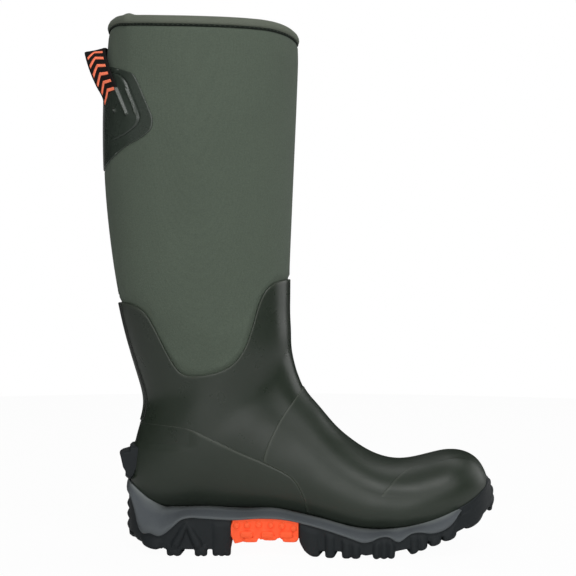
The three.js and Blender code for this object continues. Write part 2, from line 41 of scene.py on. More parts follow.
# ---- The boot's form: the same sections as in the CAD, and one above the collar ----
# Top or front x, z; sole or back x, z; half width; centre y; egg shape; front and back roundness.
SECTIONS = np.array([
    [239.8, 50.5, 239.8, 50.5, 0, 6, 0, 1, 1],
    [238.8, 57.2, 238.4, 43.8, 13.5, 6, 0, 1, 0.9],
    [235.8, 65.2, 234.6, 38.6, 22.5, 5.6, 0.05, 1, 0.8],
    [230, 72.6, 228, 34.4, 31, 4.8, 0.1, 1, 0.7],
    [220, 77.6, 218, 30.6, 38, 3.4, 0.14, 0.95, 0.62],
    [207, 78.6, 205, 26.4, 42.5, 1.6, 0.16, 0.92, 0.56],
    [189, 74.7, 188, 23.6, 44.5, 0, 0.18, 0.92, 0.53],
    [168, 71.7, 168, 21.4, 45, -1.2, 0.2, 0.92, 0.5],
    [147, 76.2, 148, 20.8, 44, -1.8, 0.22, 0.94, 0.5],
    [128.6, 86.8, 127, 22.6, 41, -2.2, 0.24, 0.95, 0.5],
    [112.5, 100.4, 104, 28, 37.5, -2.6, 0.22, 0.95, 0.52],
    [99.6, 115.4, 80, 33.8, 35, -2.6, 0.16, 0.95, 0.56],
    [90.6, 125.7, 55, 36.6, 34.5, -2.2, 0.08, 0.95, 0.6],
    [85, 134, 25, 37.2, 35.5, -1.4, 0.02, 0.95, 0.64],
    [81.9, 141, -5, 37.4, 37, -0.7, -0.01, 0.95, 0.68],
    [79.4, 147.8, -34, 37.8, 38.5, -0.2, -0.03, 0.93, 0.75],
    [77.6, 154.2, -52, 46, 39, 0, -0.05, 0.92, 0.83],
    [76.2, 160.4, -56.3, 63, 39.5, 0, -0.07, 0.92, 0.9],
    [75.2, 166.6, -52.1, 92, 40.5, 0, -0.09, 0.92, 0.95],
    [74.7, 174, -45.5, 119, 42, 0, -0.1, 0.92, 0.97],
    [74.5, 184, -49.5, 143, 44, 0, -0.08, 0.92, 0.96],
    [73.9, 197, -57.9, 171, 46.3, 0, -0.05, 0.92, 0.95],
    [74, 213, -64.4, 197, 48.6, 0, -0.02, 0.92, 0.94],
    [74.3, 234, -70.6, 230, 51.5, 0, 0, 0.92, 0.93],
    [75.8, 273, -76.1, 272, 55, 0, 0, 0.92, 0.92],
    [78.1, 325, -79.7, 324, 58.5, 0, 0, 0.92, 0.92],
    [80.9, 386, -79.4, 383, 60.5, 0, 0, 0.92, 0.92],
    [81.8, 411, -77, 417, 60.8, 0, 0, 0.92, 0.92],
    [81, 428.5, -75.1, 438.5, 59.5, 0, 0, 0.92, 0.92],
    [80.2, 446, -73.4, 460, 58, 0, 0, 0.92, 0.92],
])
LAST_T = len(SECTIONS) - 1

# How far the layers lie outside the bootie's surface.
LINING_IN, LINING_OUT = -7.4, -5.0
NEOPRENE_IN = -4.8
RUBBER_IN, RUBBER_OUT = 0.1, 1.9
OVERLAY_IN, OVERLAY_OUT = RUBBER_OUT - 0.1, 2.9
ON_NEOPRENE = 0.2

# Lines seen from the side, as points of x and z.
COLLAR_LINE = [[-110, 436], [-78, 437], [-72, 438.5], [-66, 439.2], [-54, 437.4], [-27, 434.6], [5, 433.1],
               [25, 432.8], [44, 432.8], [57, 432.8], [66, 432.2], [75, 430.6], [82, 428.2], [110, 418]]
RUBBER_TOP = [[-90, 205.5], [-66, 206], [-53, 204], [-43, 198], [-35, 186], [-27, 170], [-18, 154],
              [-12, 148], [-2, 146.4], [18, 150], [30, 157], [38, 168], [44, 184], [50, 205], [54.5, 214.5],
              [61, 221], [75, 225.4], [95, 226]]
VAMP_SEAM = [[99, 154], [87, 137], [79, 126], [71.5, 116], [64, 104], [54, 79], [52, 0]]
TOE_CAP_EDGE = [[214, 92], [200, 73.8], [181, 69.4], [164.4, 62.2], [152.6, 52.8], [146.5, 45], [143.5, 0]]
QUARTER_TOP = [[-80, 105], [-9, 103.5], [13, 94.5], [36, 83.5], [54, 75.7], [70, 68], [78, 62.5], [86.8, 48],
               [93, 20]]
PATCH_EDGE = [[-86, 312], [-80, 316], [-73, 321], [-64.3, 327.7], [-54.5, 333.7], [-43.3, 339], [-36.5, 344],
              [-34.2, 349], [-34.3, 354.7], [-37, 362], [-41.5, 372.2], [-46.6, 384], [-50.5, 390.4],
              [-57, 393.8], [-73, 400.4], [-80, 403]]
PATCH_PLATEAU = [[-80, 335.5], [-68.6, 338.6], [-62.4, 340.6], [-52.5, 345.6], [-47.9, 349.5], [-45.9, 354.5],
                 [-47, 360.6], [-51, 371], [-54.5, 379.4], [-58, 386], [-64, 392], [-80, 396]]
MIDSOLE_TOP = [[-64, 62], [-57.5, 53], [-49, 43], [-38, 36.6], [-24, 36.4], [8, 37.2], [38, 35.5],
               [62, 36.6], [80, 33], [106, 27.7], [124, 23.4], [142, 21.7], [163, 23.2], [184, 27.3],
               [199, 32], [216, 39]]
MIDSOLE_BOTTOM = [[-64, 50], [-57.5, 46], [-52.5, 35], [-50, 25], [-46, 17], [-39, 17.5], [-32, 15.6],
                  [-26.7, 17.6], [-20.7, 22.6], [-13.3, 29], [-6, 31], [5, 30.4], [30, 28.8], [49, 30],
                  [70, 29.3], [88, 26], [106, 21.5], [123.6, 16], [134, 12.8], [141, 14], [147.5, 17],
                  [154.5, 17.5], [162.5, 13.5], [173, 20], [180, 21], [190, 20], [199, 22], [207, 27],
                  [214, 37.4]]
BUMPER_TOP = [[203, 30], [213.6, 38.4], [222, 42.4], [229, 46.6], [234.5, 50.6], [239, 53.6], [242.6, 58.2],
              [250, 59]]
TREAD = [[-70, 0], [150, 0], [160, 0.6], [172, 3], [186, 8], [200, 12.5], [211, 16.2], [221, 20.3],
         [230, 24.4], [240, 30], [247, 36], [252, 41]]
# How far the rear ends of the heel and of the forefoot curve up from the ground.
REAR_BEVEL = [[-62, 13], [-57.5, 11], [-53, 10.6], [-49, 9.4], [-45, 7], [-40, 5.6], [-34, 4.4], [-30.5, 5],
              [-27.5, 0], [27.5, 0], [81, 14], [83, 12], [84.5, 8.4], [87, 5], [91, 2], [94, 0.6], [97, 0]]
SOLE_OUTLINE = [
    [-61, 0], [-56, -21.5], [-40, -36], [-10, -42], [32, -40.5], [72, -42], [110, -49], [145, -53.5],
    [180, -52.5], [207, -47], [228, -34.5], [242.5, -14], [248, 7], [242.3, 29], [226.5, 43.5], [204, 51.5],
    [175, 52], [142, 48.5], [108, 41.5], [70, 37.5], [32, 39.5], [-10, 41.5], [-40, 36], [-56, 21.5],
]
LUG_DEPTH = 5.5
# Edge lugs: start x, end x, flutes; at the heel also notches in the foot and the highest z.
HEEL_LUGS = [[-47.5, -29.5, 1, 1, 16], [-25.2, -13, 1, 2, 11], [-2, 8.5, 1, 2, 11], [12.6, 27.5, 1, 3, 40]]
FOREFOOT_LUGS = [[83, 99, 1], [103.5, 111.5, 1], [117, 132, 2], [142, 160, 3], [172, 186.5, 2],
                 [188.5, 198, 1], [199.5, 211, 1], [220.6, 238, 1]]
FOREFOOT_BARS = [92, 108, 124.5, 151, 179]
# The lower edge of the arch insert.
ARCH_LOW = [[26, 19.5], [30.6, 9.6], [36.4, 10.9], [36.9, 12.2], [37.6, 10.9], [44.1, 12], [49.6, 13.3],
            [50.1, 16], [51, 12.9], [60.7, 14.2], [66.8, 14.1], [67.3, 15.4], [68.2, 13.4], [80.7, 11.4],
            [82.1, 13.5]]


# ---- Curves ----
def line_through(p, q, at_p, at_q, u):
    """The straight line that is at p when u is at_p, and at q when u is at_q."""
    return (at_q - u) / (at_q - at_p) * p + (u - at_p) / (at_q - at_p) * q


def catmull(points, per_span=8, closed=False):
    """Points of a smooth curve through the given ones."""
    p = np.array(points, float)
    n = len(p)
    out = []
    spans = n if closed else n - 1
    for i in range(spans):
        p1, p2 = p[i], p[(i + 1) % n]
        p0 = p[(i - 1) % n] if closed or i > 0 else 2 * p1 - p2
        p3 = p[(i + 2) % n] if closed or i + 2 < n else 2 * p2 - p1
        k = [0.0]
        for a, b in ((p0, p1), (p1, p2), (p2, p3)):
            k.append(k[-1] + max(np.linalg.norm(b - a), 1e-6) ** 0.5)
        for j in range(per_span):
            u = k[1] + (k[2] - k[1]) * j / per_span
            a1 = line_through(p0, p1, k[0], k[1], u)
            a2 = line_through(p1, p2, k[1], k[2], u)
            a3 = line_through(p2, p3, k[2], k[3], u)
            b1 = line_through(a1, a2, k[0], k[2], u)
            b2 = line_through(a2, a3, k[1], k[3], u)
            out.append(line_through(b1, b2, k[1], k[2], u))
    if not closed:
        out.append(p[-1])
    return np.array(out)


def z_of_x(points, known=0, wanted=1):
    """The smooth curve through points of x and z, as a function."""
    c = catmull(points)
    order = np.argsort(c[:, known], kind="stable")
    return lambda at: np.interp(at, c[order, known], c[order, wanted])


def x_of_z(points):
    return z_of_x(points, 1, 0)


def straight_lines(points):
    """The straight lines from point to point, as a function."""
    known, wanted = np.array(points, float).T
    return lambda at: np.interp(at, known, wanted)


def smooth_step(x):
    x = np.clip(x, 0, 1)
    return x**2 * (3 - 2 * x)


def hump(x, width):
    return np.exp(-((x / width) ** 2))


collar_z = z_of_x(COLLAR_LINE)
rubber_top_z = z_of_x(RUBBER_TOP)
vamp_seam_x = x_of_z(VAMP_SEAM)
toe_cap_x = x_of_z(TOE_CAP_EDGE)
quarter_top_z = z_of_x(QUARTER_TOP)
patch_x = x_of_z(PATCH_EDGE)
plateau_x = x_of_z(PATCH_PLATEAU)
midsole_top_z = z_of_x(MIDSOLE_TOP)
midsole_bottom_z = z_of_x(MIDSOLE_BOTTOM)
bumper_top_z = z_of_x(BUMPER_TOP)
tread_z = z_of_x(TREAD)
rear_bevel_z = straight_lines(REAR_BEVEL)
arch_low_z = straight_lines(ARCH_LOW)


def spline_bends(y):
    """Second derivatives of a cubic spline with free ends, through rows of y at 0, 1, 2 ..."""
    n = len(y) - 1
    a = np.eye(n + 1)
    b = np.zeros_like(y)
    for i in range(1, n):
        a[i, i - 1 : i + 2] = (1, 4, 1)
        b[i] = 6 * (y[i + 1] - 2 * y[i] + y[i - 1])
    return np.linalg.solve(a, b)


# The section above the collar is joined on in a straight line, so that the form below stays as in the CAD.
BENDS = np.vstack([spline_bends(SECTIONS[:LAST_T]), np.zeros(SECTIONS.shape[1])])


def form(t, angle):
    """Points of the bootie's outer surface. angle 0 is the top or front line, pi the sole or back line."""
    t, angle = np.broadcast_arrays(np.asarray(t, float), np.asarray(angle, float))
    i = np.clip(np.floor(t).astype(int), 0, LAST_T - 1)
    b = (t - i)[..., None]
    a = 1 - b
    low, high = BENDS[i], BENDS[i + 1]
    v = a * SECTIONS[i] + b * SECTIONS[i + 1] + ((a**3 - a) * low + (b**3 - b) * high) / 6
    along = np.cos(angle)
    side = np.sin(angle)
    roundness = v[..., 7] + (v[..., 8] - v[..., 7]) * (1 - along) / 2
    y = v[..., 5] + np.sign(side) * v[..., 4] * np.abs(side) ** roundness * (1 - v[..., 6] * along)
    share = (1 + along) / 2
    x = v[..., 2] + (v[..., 0] - v[..., 2]) * share
    z = v[..., 3] + (v[..., 1] - v[..., 3]) * share
    return np.stack([x, y, z], -1)


# A small step of t or angle, for slopes.
STEP = 1e-3


def unit(vectors):
    return vectors / np.maximum(np.linalg.norm(vectors, axis=-1, keepdims=True), 1e-12)


def turns(count):
    """Angles evenly spread round a full turn."""
    return np.arange(count) * TURN / count


def form_normal(t, angle):
    t, angle = np.broadcast_arrays(np.asarray(t, float), np.asarray(angle, float))
    along = form(np.minimum(t + STEP, LAST_T), angle) - form(np.maximum(t - STEP, 0), angle)
    around = form(t, angle + STEP) - form(t, angle - STEP)
    n = unit(np.cross(around, along))
    n[t < 2 * STEP] = (1, 0, 0)
    return n


def surface(t, angle, distance):
    """Points at a distance outside the bootie's outer surface."""
    return form(t, angle) + form_normal(t, angle) * np.asarray(distance, float)[..., None]


def first_crossing(value, low, high, steps=60):
    """For each column, the first place between low and high where value(place) turns negative."""
    places = low + (high - low) * np.linspace(0, 1, steps)[:, None]
    values = np.array([value(p) for p in places])
    places = np.broadcast_to(places, values.shape)
    negative = values < 0
    index = np.where(negative.any(0), negative.argmax(0), steps - 1)
    index = np.maximum(index, 1)
    cols = np.arange(values.shape[1])
    a, b = places[index - 1, cols], places[index, cols]
    for _ in range(30):
        m = (a + b) / 2
        inside = value(m) >= 0
        a, b = np.where(inside, m, a), np.where(inside, b, m)
    return (a + b) / 2


# ---- Meshes ----
def make_object(name, verts, faces, cloth=None, edge=None):
    """An object from points in millimetres. edge marks rims with 1, where the looks paint a highlight along
    the rim, and on the stay a line of shade; cloth holds places on the woven sheet.
    """
    mesh = bpy.data.meshes.new(name)
    mesh.from_pydata((np.asarray(verts, float) * MM).tolist(), [], faces)
    if edge is not None:
        layer = mesh.attributes.new("edge", "FLOAT", "POINT")
        layer.data.foreach_set("value", np.asarray(edge, np.float32).ravel())
    if cloth is not None:
        layer = mesh.attributes.new("cloth_mm", "FLOAT_VECTOR", "POINT")
        layer.data.foreach_set("vector", np.asarray(cloth, np.float32).ravel())
    mesh.validate()
    obj = bpy.data.objects.new(name, mesh)
    bpy.context.scene.collection.objects.link(obj)
    tidy_mesh(obj)
    return obj


def tidy_mesh(obj, merge=2e-6):
    bm = bmesh.new()
    bm.from_mesh(obj.data)
    bmesh.ops.remove_doubles(bm, verts=bm.verts, dist=merge)
    bmesh.ops.dissolve_degenerate(bm, edges=bm.edges, dist=1e-7)
    bmesh.ops.recalc_face_normals(bm, faces=bm.faces)
    for f in bm.faces:
        f.smooth = True
    bm.to_mesh(obj.data)
    bm.free()
    obj.data.update()


def ring_faces(n, k, closed, start=0):
    """Faces between n rings of k points. An open run ends in two caps, listed last."""
    faces = []
    for i in range(n if closed else n - 1):
        j = (i + 1) % n
        for m in range(k):
            p = (m + 1) % k
            faces.append((start + i * k + m, start + i * k + p, start + j * k + p, start + j * k + m))
    if not closed:
        faces.append(tuple(start + m for m in reversed(range(k))))
        faces.append(tuple(start + (n - 1) * k + m for m in range(k)))
    return faces


def loft(name, rings, closed=False, cloth=None, edge=None):
    """A closed solid through rings of points. The run of rings is closed too, or capped at both ends."""
    rings = np.asarray(rings, float)
    n, k, _ = rings.shape
    cloth = None if cloth is None else cloth.reshape(-1, 3)
    return make_object(name, rings.reshape(-1, 3), ring_faces(n, k, closed), cloth, edge)


def join_solids(name, ring_sets):
    """One object out of several solids, each given by its rings and capped at both ends."""
    verts, faces = [], []
    for rings in ring_sets:
        rings = np.asarray(rings, float)
        n, k, _ = rings.shape
        faces += ring_faces(n, k, False, len(verts))
        verts += rings.reshape(-1, 3).tolist()
    return make_object(name, verts, faces)


def fuse(obj, voxel, smoothing):
    """Welds overlapping solids into one moulded body with rounded creases."""
    mod = obj.modifiers.new("fuse", "REMESH")
    mod.mode = "VOXEL"
    mod.voxel_size = voxel * MM
    mod.use_smooth_shade = True
    relax = obj.modifiers.new("relax", "SMOOTH")
    relax.factor = 0.5
    relax.iterations = smoothing
    apply_modifiers(obj)


def apply_modifiers(obj):
    graph = bpy.context.evaluated_depsgraph_get()
    mesh = bpy.data.meshes.new_from_object(obj.evaluated_get(graph))
    obj.modifiers.clear()
    obj.data = mesh
    for p in mesh.polygons:
        p.use_smooth = True


# Points round a layer of the boot.
AROUND = 256
# Steps of a rounded rim.
ROUND = np.radians([0, 22, 45, 67, 90])


def edge_scale(t, angle):
    """Section steps per millimetre, at right angles to an edge t(angle) on the surface."""
    edge = form(t, angle)
    tangent = unit(np.roll(edge, -1, 0) - np.roll(edge, 1, 0))
    across = np.cross(form_normal(t, angle), tangent)
    ahead = form(np.clip(t + STEP, 0, LAST_T), angle)
    behind = form(np.clip(t - STEP, 0, LAST_T), angle)
    step = (ahead - behind) / (2 * STEP)
    return 1 / np.maximum(np.abs(np.sum(step * across, -1)), 2.0)


def shell(name, t_edge, inner, outer, rim, rows, around=AROUND, lift=None):
    """A layer round the boot from the toe's tip to its edge t_edge(angle), which has a rounded rim.
    lift(t, angle) is added to the outer surface."""
    angle = turns(around)
    end = t_edge(angle)
    scale = edge_scale(end, angle)
    path = [((end - rim * scale) * share, outer, 0.0) for share in np.linspace(0, 1, rows)[:-1]]
    # The rounded rim's rows get edge 1, where the rubber looks paint a highlight along the rim.
    for r in ROUND:
        path.append((end - rim * (1 - math.sin(r)) * scale, outer - rim * (1 - math.cos(r)), 1.0))
    path += [(end * share, inner, 0.0) for share in np.linspace(1, 0, rows // 2)]
    rings, edge = [], []
    for t, out, on_rim in path:
        distance = np.full(around, out)
        if lift is not None and out > inner:
            distance = distance + lift(t, angle)
        rings.append(surface(t, angle, distance))
        edge.append(np.full(around, on_rim))
    return loft(name, np.array(rings).transpose(1, 0, 2), closed=True, edge=np.array(edge).T)


def spaced(count, length, rim):
    """Places from 0 to 1, close together within rim of both ends."""
    near = rim * np.array([0, 0.04, 0.15, 0.35, 0.65, 1.0]) / length
    return np.concatenate([near, np.linspace(near[-1], 1 - near[-1], count)[1:-1], 1 - near[::-1]])


def pillow(name, t_range, angle_low, inner, height, rim, rows, columns, lift=None):
    """A patch round the back of the boot, between the two sections of t_range: for each t, from angle_low(t)
    round to the mirrored angle. Its face rises from inner by height and lift(points), over a rounded rim."""
    t0, t1 = t_range
    length_t = np.linalg.norm(form(t1, math.pi) - form(t0, math.pi))
    u = spaced(rows, length_t, rim)
    t = t0 + (t1 - t0) * u
    low = angle_low(t)
    span = (TURN - 2 * low)[:, None]
    arcs = form(t[:, None], low[:, None] + span * np.linspace(0, 1, 40))
    widths = np.linalg.norm(np.diff(arcs, axis=1), axis=-1).sum(1)
    v = spaced(columns, widths.max(), rim)
    angle = low[:, None] + span * v
    tt = np.broadcast_to(t[:, None], angle.shape)
    reach_v = np.minimum(v, 1 - v) * widths[:, None]
    reach_u = np.minimum(u, 1 - u)[:, None] * length_t
    reach = np.clip(np.minimum(reach_u, reach_v) / rim, 0, 1)
    d = inner + height * np.sqrt(1 - (1 - reach) ** 2)
    base = form(tt, angle)
    if lift is not None:
        d = d + lift(base) * reach
    outer = base + form_normal(tt, angle) * d[..., None]
    under = surface(tt, angle, np.full(angle.shape, inner - 0.25))
    rings = np.concatenate([outer, under[:, ::-1]], axis=1)
    # The rim gets edge 1: the looks paint a highlight there, and on the back stay a dark line of shade.
    edge = np.concatenate([(reach < 1).astype(float), np.zeros(reach.shape)], axis=1)
    return loft(name, rings, edge=edge)


# ---- Materials ----
def linear(rgb):
    """A colour as linear light, with its alpha."""
    return [((c / 255 + 0.055) / 1.055) ** 2.4 if c > 10 else c / 255 / 12.92 for c in rgb] + [1]


def fill(tree, node, values):
    """Gives a node's inputs their values: numbers, colours, or the outputs of other nodes."""
    for key, value in values.items():
        if isinstance(value, bpy.types.NodeSocket):
            tree.links.new(value, node.inputs[key])
        else:
            node.inputs[key].default_value = value


class Shader:
    """A procedural material, built up layer by layer on a Principled BSDF."""

    def __init__(self, name, rgb, roughness, metallic=0.0, specular=0.5):
        self.material = bpy.data.materials.new(name)
        self.material.use_nodes = True
        self.tree = self.material.node_tree
        self.tree.nodes.clear()
        self.bsdf = self.add("BsdfPrincipled", {"Metallic": metallic, "Specular IOR Level": specular})
        self.output = self.add("OutputMaterial", {0: self.bsdf.outputs[0]})
        self.place = self.add("TexCoord").outputs["Object"]
        colour = self.add("RGB")
        colour.outputs[0].default_value = linear(rgb)
        self.colour = colour.outputs[0]
        self.roughness = roughness
        self.normal = None

    def add(self, kind, values=None, **settings):
        node = self.tree.nodes.new("ShaderNode" + kind)
        for key, value in settings.items():
            setattr(node, key, value)
        fill(self.tree, node, values or {})
        return node

    def scaled(self, scale, stretch):
        vector = [scale * s for s in stretch]
        return self.add("Mapping", {"Vector": self.place, "Scale": vector}).outputs[0]

    def noise(self, scale, detail=3, rough=0.55, stretch=(1, 1, 1)):
        values = {"Vector": self.scaled(scale, stretch), "Scale": 1, "Detail": detail, "Roughness": rough}
        return self.add("TexNoise", values).outputs["Fac"]

    def cells(self, scale, stretch, randomness):
        values = {"Vector": self.scaled(scale, stretch), "Scale": 1, "Randomness": randomness}
        return self.add("TexVoronoi", values).outputs["Distance"]

    def spread(self, value, low, high, start=0.3, end=0.7):
        """Runs from low to high while the value runs from start to end."""
        values = {"Value": value, "From Min": start, "From Max": end, "To Min": low, "To Max": high}
        return self.add("MapRange", values).outputs[0]

    def pointiness(self):
        return self.add("NewGeometry").outputs["Pointiness"]

    def dimmed(self, factor):
        self.colour = self.add("VectorMath", {0: self.colour, "Scale": factor}, operation="SCALE").outputs[0]
        return self

    def mixed(self, factor, rgb):
        values = {"Factor": factor, "A": self.colour, "B": linear(rgb)}
        self.colour = self.add("Mix", values, data_type="RGBA").outputs["Result"]
        return self

    def tint(self, value, low, high):
        """Multiplies the colour by a factor that follows the value."""
        return self.dimmed(self.spread(value, low, high))

    def edge_wear_and_shading(self, rgb, amount):
        """Mixes the colour towards rgb at raised edges: partly edge wear, partly a painted highlight, and
        with a dark rgb a painted line of shade.
        """
        return self.mixed(self.spread(self.pointiness(), 0, amount, 0.52, 0.6), rgb)

    def painted_hollow_shade(self, amount):
        """Painted shade: darkens hollows, where shade falls."""
        return self.dimmed(self.spread(self.pointiness(), 1, 1 - amount, 0.48, 0.42))

    def painted_rim_shading(self, rgb, amount):
        """Mixes rgb into the rims that a mesh marks with its edge values: a painted highlight where rgb is
        light, a painted line of shade where it is dark.
        """
        edge = self.add("Attribute", attribute_name="edge").outputs["Fac"]
        return self.mixed(self.add("Math", {0: edge, 1: amount}, operation="MULTIPLY").outputs[0], rgb)

    def rough(self, value, low, high):
        self.roughness = self.spread(value, low, high)
        return self

    def bump(self, value, height_mm):
        values = {"Distance": height_mm * MM, "Height": value}
        if self.normal is not None:
            values["Normal"] = self.normal
        self.normal = self.add("Bump", values).outputs[0]
        return self

    def sheen(self, weight):
        tint = linear((200, 210, 200))
        fill(self.tree, self.bsdf, {"Sheen Weight": weight, "Sheen Tint": tint, "Sheen Roughness": 0.5})
        return self

    def painted_glow(self, strength):
        """A fluorescent pigment gives back a little more light than falls on it; here that is painted light:
        the part emits its own colour at this strength, though it is no lamp.
        """
        fill(self.tree, self.bsdf, {"Emission Color": self.colour, "Emission Strength": strength})
        return self

    def done(self):
        fill(self.tree, self.bsdf, {"Base Color": self.colour, "Roughness": self.roughness})
        if self.normal is not None:
            fill(self.tree, self.bsdf, {"Normal": self.normal})
        return self.material


def rubber(name, rgb, rough=(0.42, 0.52), edge_wear_and_shading_rgb=(84, 90, 80), edge_wear_and_shading=0.3, grain=0.02, specular=0.4,
           rim=0.5, painted_glow=0.0, hollow_shade=0.0):
    """Moulded rubber or foam. grain is the height of its finest bumps in millimetres. Its colour holds
    painted light: rim sets a painted highlight along the rims its mesh marks, a painted line of shade where
    the edge colour is dark; raised edges are lightened, partly as wear and partly as a painted highlight;
    hollows get painted shade; and it may get a painted glow.
    """
    s = Shader(name, rgb, 0.5, specular=specular)
    s.tint(s.noise(14), 0.95, 1.05).tint(s.noise(420, 2), 0.97, 1.03)
    s.edge_wear_and_shading(edge_wear_and_shading_rgb, edge_wear_and_shading).painted_rim_shading(edge_wear_and_shading_rgb, rim).painted_hollow_shade(hollow_shade)
    s.rough(s.noise(60, 4), *rough).bump(s.noise(900, 2), grain).bump(s.noise(35, 2), 0.06)
    return s.painted_glow(painted_glow).done()


def neoprene_look():
    s = Shader("neoprene_jersey", (90, 101, 88), 0.9, specular=0.45)
    knit = s.cells(1250, (1, 1, 0.72), 0.55)
    s.tint(s.noise(9), 0.95, 1.05).tint(s.noise(900, 3), 0.9, 1.1).tint(knit, 1.05, 0.93)
    s.bump(knit, 0.16).bump(s.noise(1500, 2), 0.08).bump(s.noise(26, 2), 0.25)
    return s.sheen(0.12).done()


def cloth_look(name, rgb, cell, sheen, grain, tint=(0.88, 1.1)):
    """Woven or knitted cloth with so many cells to the metre, grain millimetres deep."""
    s = Shader(name, rgb, 0.95, specular=0.15)
    knit = s.cells(cell, (1, 1, 0.8), 0.6)
    s.tint(s.noise(20), 0.95, 1.05).tint(knit, tint[1], tint[0]).bump(knit, grain).bump(s.noise(60, 3), 0.15)
    return s.sheen(sheen).done()


def webbing_look(name, rgb, painted_glow=0.0):
    """Woven ribs along and across the webbing, 1.1 and 1.76 mm apart."""
    s = Shader(name, rgb, 0.85, specular=0.2)
    split = s.add("SeparateXYZ", {0: s.add("Attribute", attribute_name="cloth_mm").outputs["Vector"]})
    waves = []
    for axis, pitch in (("X", 1.1), ("Y", 1.76)):
        phase = s.add("Math", {0: split.outputs[axis], 1: TURN / pitch}, operation="MULTIPLY")
        waves.append(s.add("Math", {0: phase.outputs[0]}, operation="SINE").outputs[0])
    weave = s.add("Math", {0: waves[0], 1: waves[1], 2: 0.5}, operation="MULTIPLY_ADD").outputs[0]
    s.tint(weave, 0.85, 1.12).tint(s.noise(800), 0.92, 1.08).bump(weave, 0.12)
    return s.painted_glow(painted_glow).done()


def steel_look():
    s = Shader("shank_steel", (154, 158, 162), 0.35, metallic=1.0)
    return s.rough(s.noise(300, 2, 0.5, (0.1, 1, 1)), 0.28, 0.42).bump(s.noise(900), 0.01).done()


TAPE_TINT = (0.95, 1.04)
LOOKS = {
    "neoprene": neoprene_look(),
    # The upper and overlay rubbers get a painted highlight along their rims, and lighter raised edges, partly
    # wear and partly painted highlight.
    "upper": rubber("upper_rubber", (47, 55, 46), (0.26, 0.34), grain=0.008, specular=0.5),
    "overlay": rubber("overlay_rubber", (49, 57, 48), (0.35, 0.43), grain=0.008, specular=0.48),
    # The patch's near-white edge colour paints highlights along its rim and on its raised edges and rib; its
    # hollows get painted shade.
    "patch": rubber("patch_rubber", (58, 66, 59), (0.2, 0.3), edge_wear_and_shading_rgb=(146, 152, 144), edge_wear_and_shading=0.6,
                    specular=0.5, rim=0.1, hollow_shade=0.6),
    # The stay's dark edge colour paints a line of shade along its rims and raised edges.
    "stay": rubber("stay_rubber", (47, 55, 46), edge_wear_and_shading_rgb=(16, 19, 16), edge_wear_and_shading=0.1, specular=0.45, rim=0.9),
    # The outsole's lighter raised edges are partly wear and partly painted highlight; its hollows get painted
    # shade.
    "outsole": rubber("outsole_rubber", (43, 47, 49), (0.5, 0.62), edge_wear_and_shading_rgb=(66, 70, 71), edge_wear_and_shading=0.4,
                      grain=0.03, specular=0.16, hollow_shade=0.6),
    # The arch insert gets a painted glow that brightens its orange, lighter raised edges, partly wear and
    # partly painted highlight, and painted shade in its hollows.
    "arch": rubber("arch_rubber", (255, 98, 56), (0.45, 0.55), edge_wear_and_shading_rgb=(255, 132, 92), edge_wear_and_shading=0.3,
                   grain=0.03, specular=0.2, painted_glow=0.25, hollow_shade=0.6),
    # The midsole gets a painted highlight along its top rim, lighter raised edges, partly wear and partly
    # painted highlight, and painted shade in its hollows.
    "midsole": rubber("midsole_foam", (95, 100, 104), (0.6, 0.7), edge_wear_and_shading_rgb=(140, 146, 144), edge_wear_and_shading=0.25,
                      grain=0.04, specular=0.1, rim=0.8, hollow_shade=0.6),
    "binding": cloth_look("binding_tape", (111, 117, 105), 1500, sheen=0.15, grain=0.06, tint=TAPE_TINT),
    "tape": cloth_look("seam_tape", (60, 66, 58), 1500, sheen=0.1, grain=0.05, tint=TAPE_TINT),
    "hem": cloth_look("binding_hem", (34, 40, 35), 1500, sheen=0.05, grain=0.06, tint=TAPE_TINT),
    "stitch": cloth_look("stitch_thread", (62, 70, 60), 2500, sheen=0.2, grain=0.03),
    "fleece": cloth_look("fleece_lining", (104, 106, 100), 420, sheen=0.6, grain=0.5),
    "footbed": cloth_look("footbed_top", (44, 48, 46), 800, sheen=0.3, grain=0.1),
    "webbing": webbing_look("webbing_black", (33, 29, 29)),
    # The orange chevrons get a painted glow that brightens them beyond what the lamps give.
    "chevron": webbing_look("webbing_orange", (255, 130, 96), painted_glow=0.32),
    "board": cloth_look("fibre_board", (165, 141, 102), 700, sheen=0.0, grain=0.08),
    "stiffener": rubber("stiffener_sheet", (207, 201, 184), (0.6, 0.7)),
    "steel": steel_look(),
}


def finish_piece(obj, look, body=None, bend=None, replaces=()):
    """Gives a piece its look, and lets it ride on a body. A piece given a bend rides on no body: its
    transform is baked into its mesh, and the bend's bodies and points are not read.
    """
    obj.data.materials.clear()
    obj.data.materials.append(LOOKS[look])
    if bend:
        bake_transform(obj)
    else:
        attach(obj, body)
    if replaces:
        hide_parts(*replaces)


# ---- Frame ----
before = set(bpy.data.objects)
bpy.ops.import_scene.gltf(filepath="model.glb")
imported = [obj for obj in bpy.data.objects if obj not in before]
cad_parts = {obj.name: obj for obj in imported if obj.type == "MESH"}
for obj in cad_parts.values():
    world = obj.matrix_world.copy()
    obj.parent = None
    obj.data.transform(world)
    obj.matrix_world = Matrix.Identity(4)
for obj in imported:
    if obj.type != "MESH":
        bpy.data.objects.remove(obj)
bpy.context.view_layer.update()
# Two bodies, and the points in metres between which a piece bends from one to the other.
ANKLE_BEND = ("foot", "shaft", (0.008, 0, 0.085), (0.008, 0, 0.21))
LOOP_BEND = ("shaft", "pull_loop", (-0.08, 0, 0.383), (-0.08, 0, 0.395))


# ---- Edges of the layers, found on the form ----
def below_line(line_z, t, angle):
    """How far the form lies below a line seen from the side."""
    p = form(t, angle)
    return line_z(p[..., 0]) - p[..., 2]


def collar_t(angle):
    return first_crossing(lambda t: below_line(collar_z, t, angle), 24.0, LAST_T - 0.01)


def rubber_t(angle):
    return first_crossing(lambda t: below_line(rubber_top_z, t, angle), 15.5, 25.0)


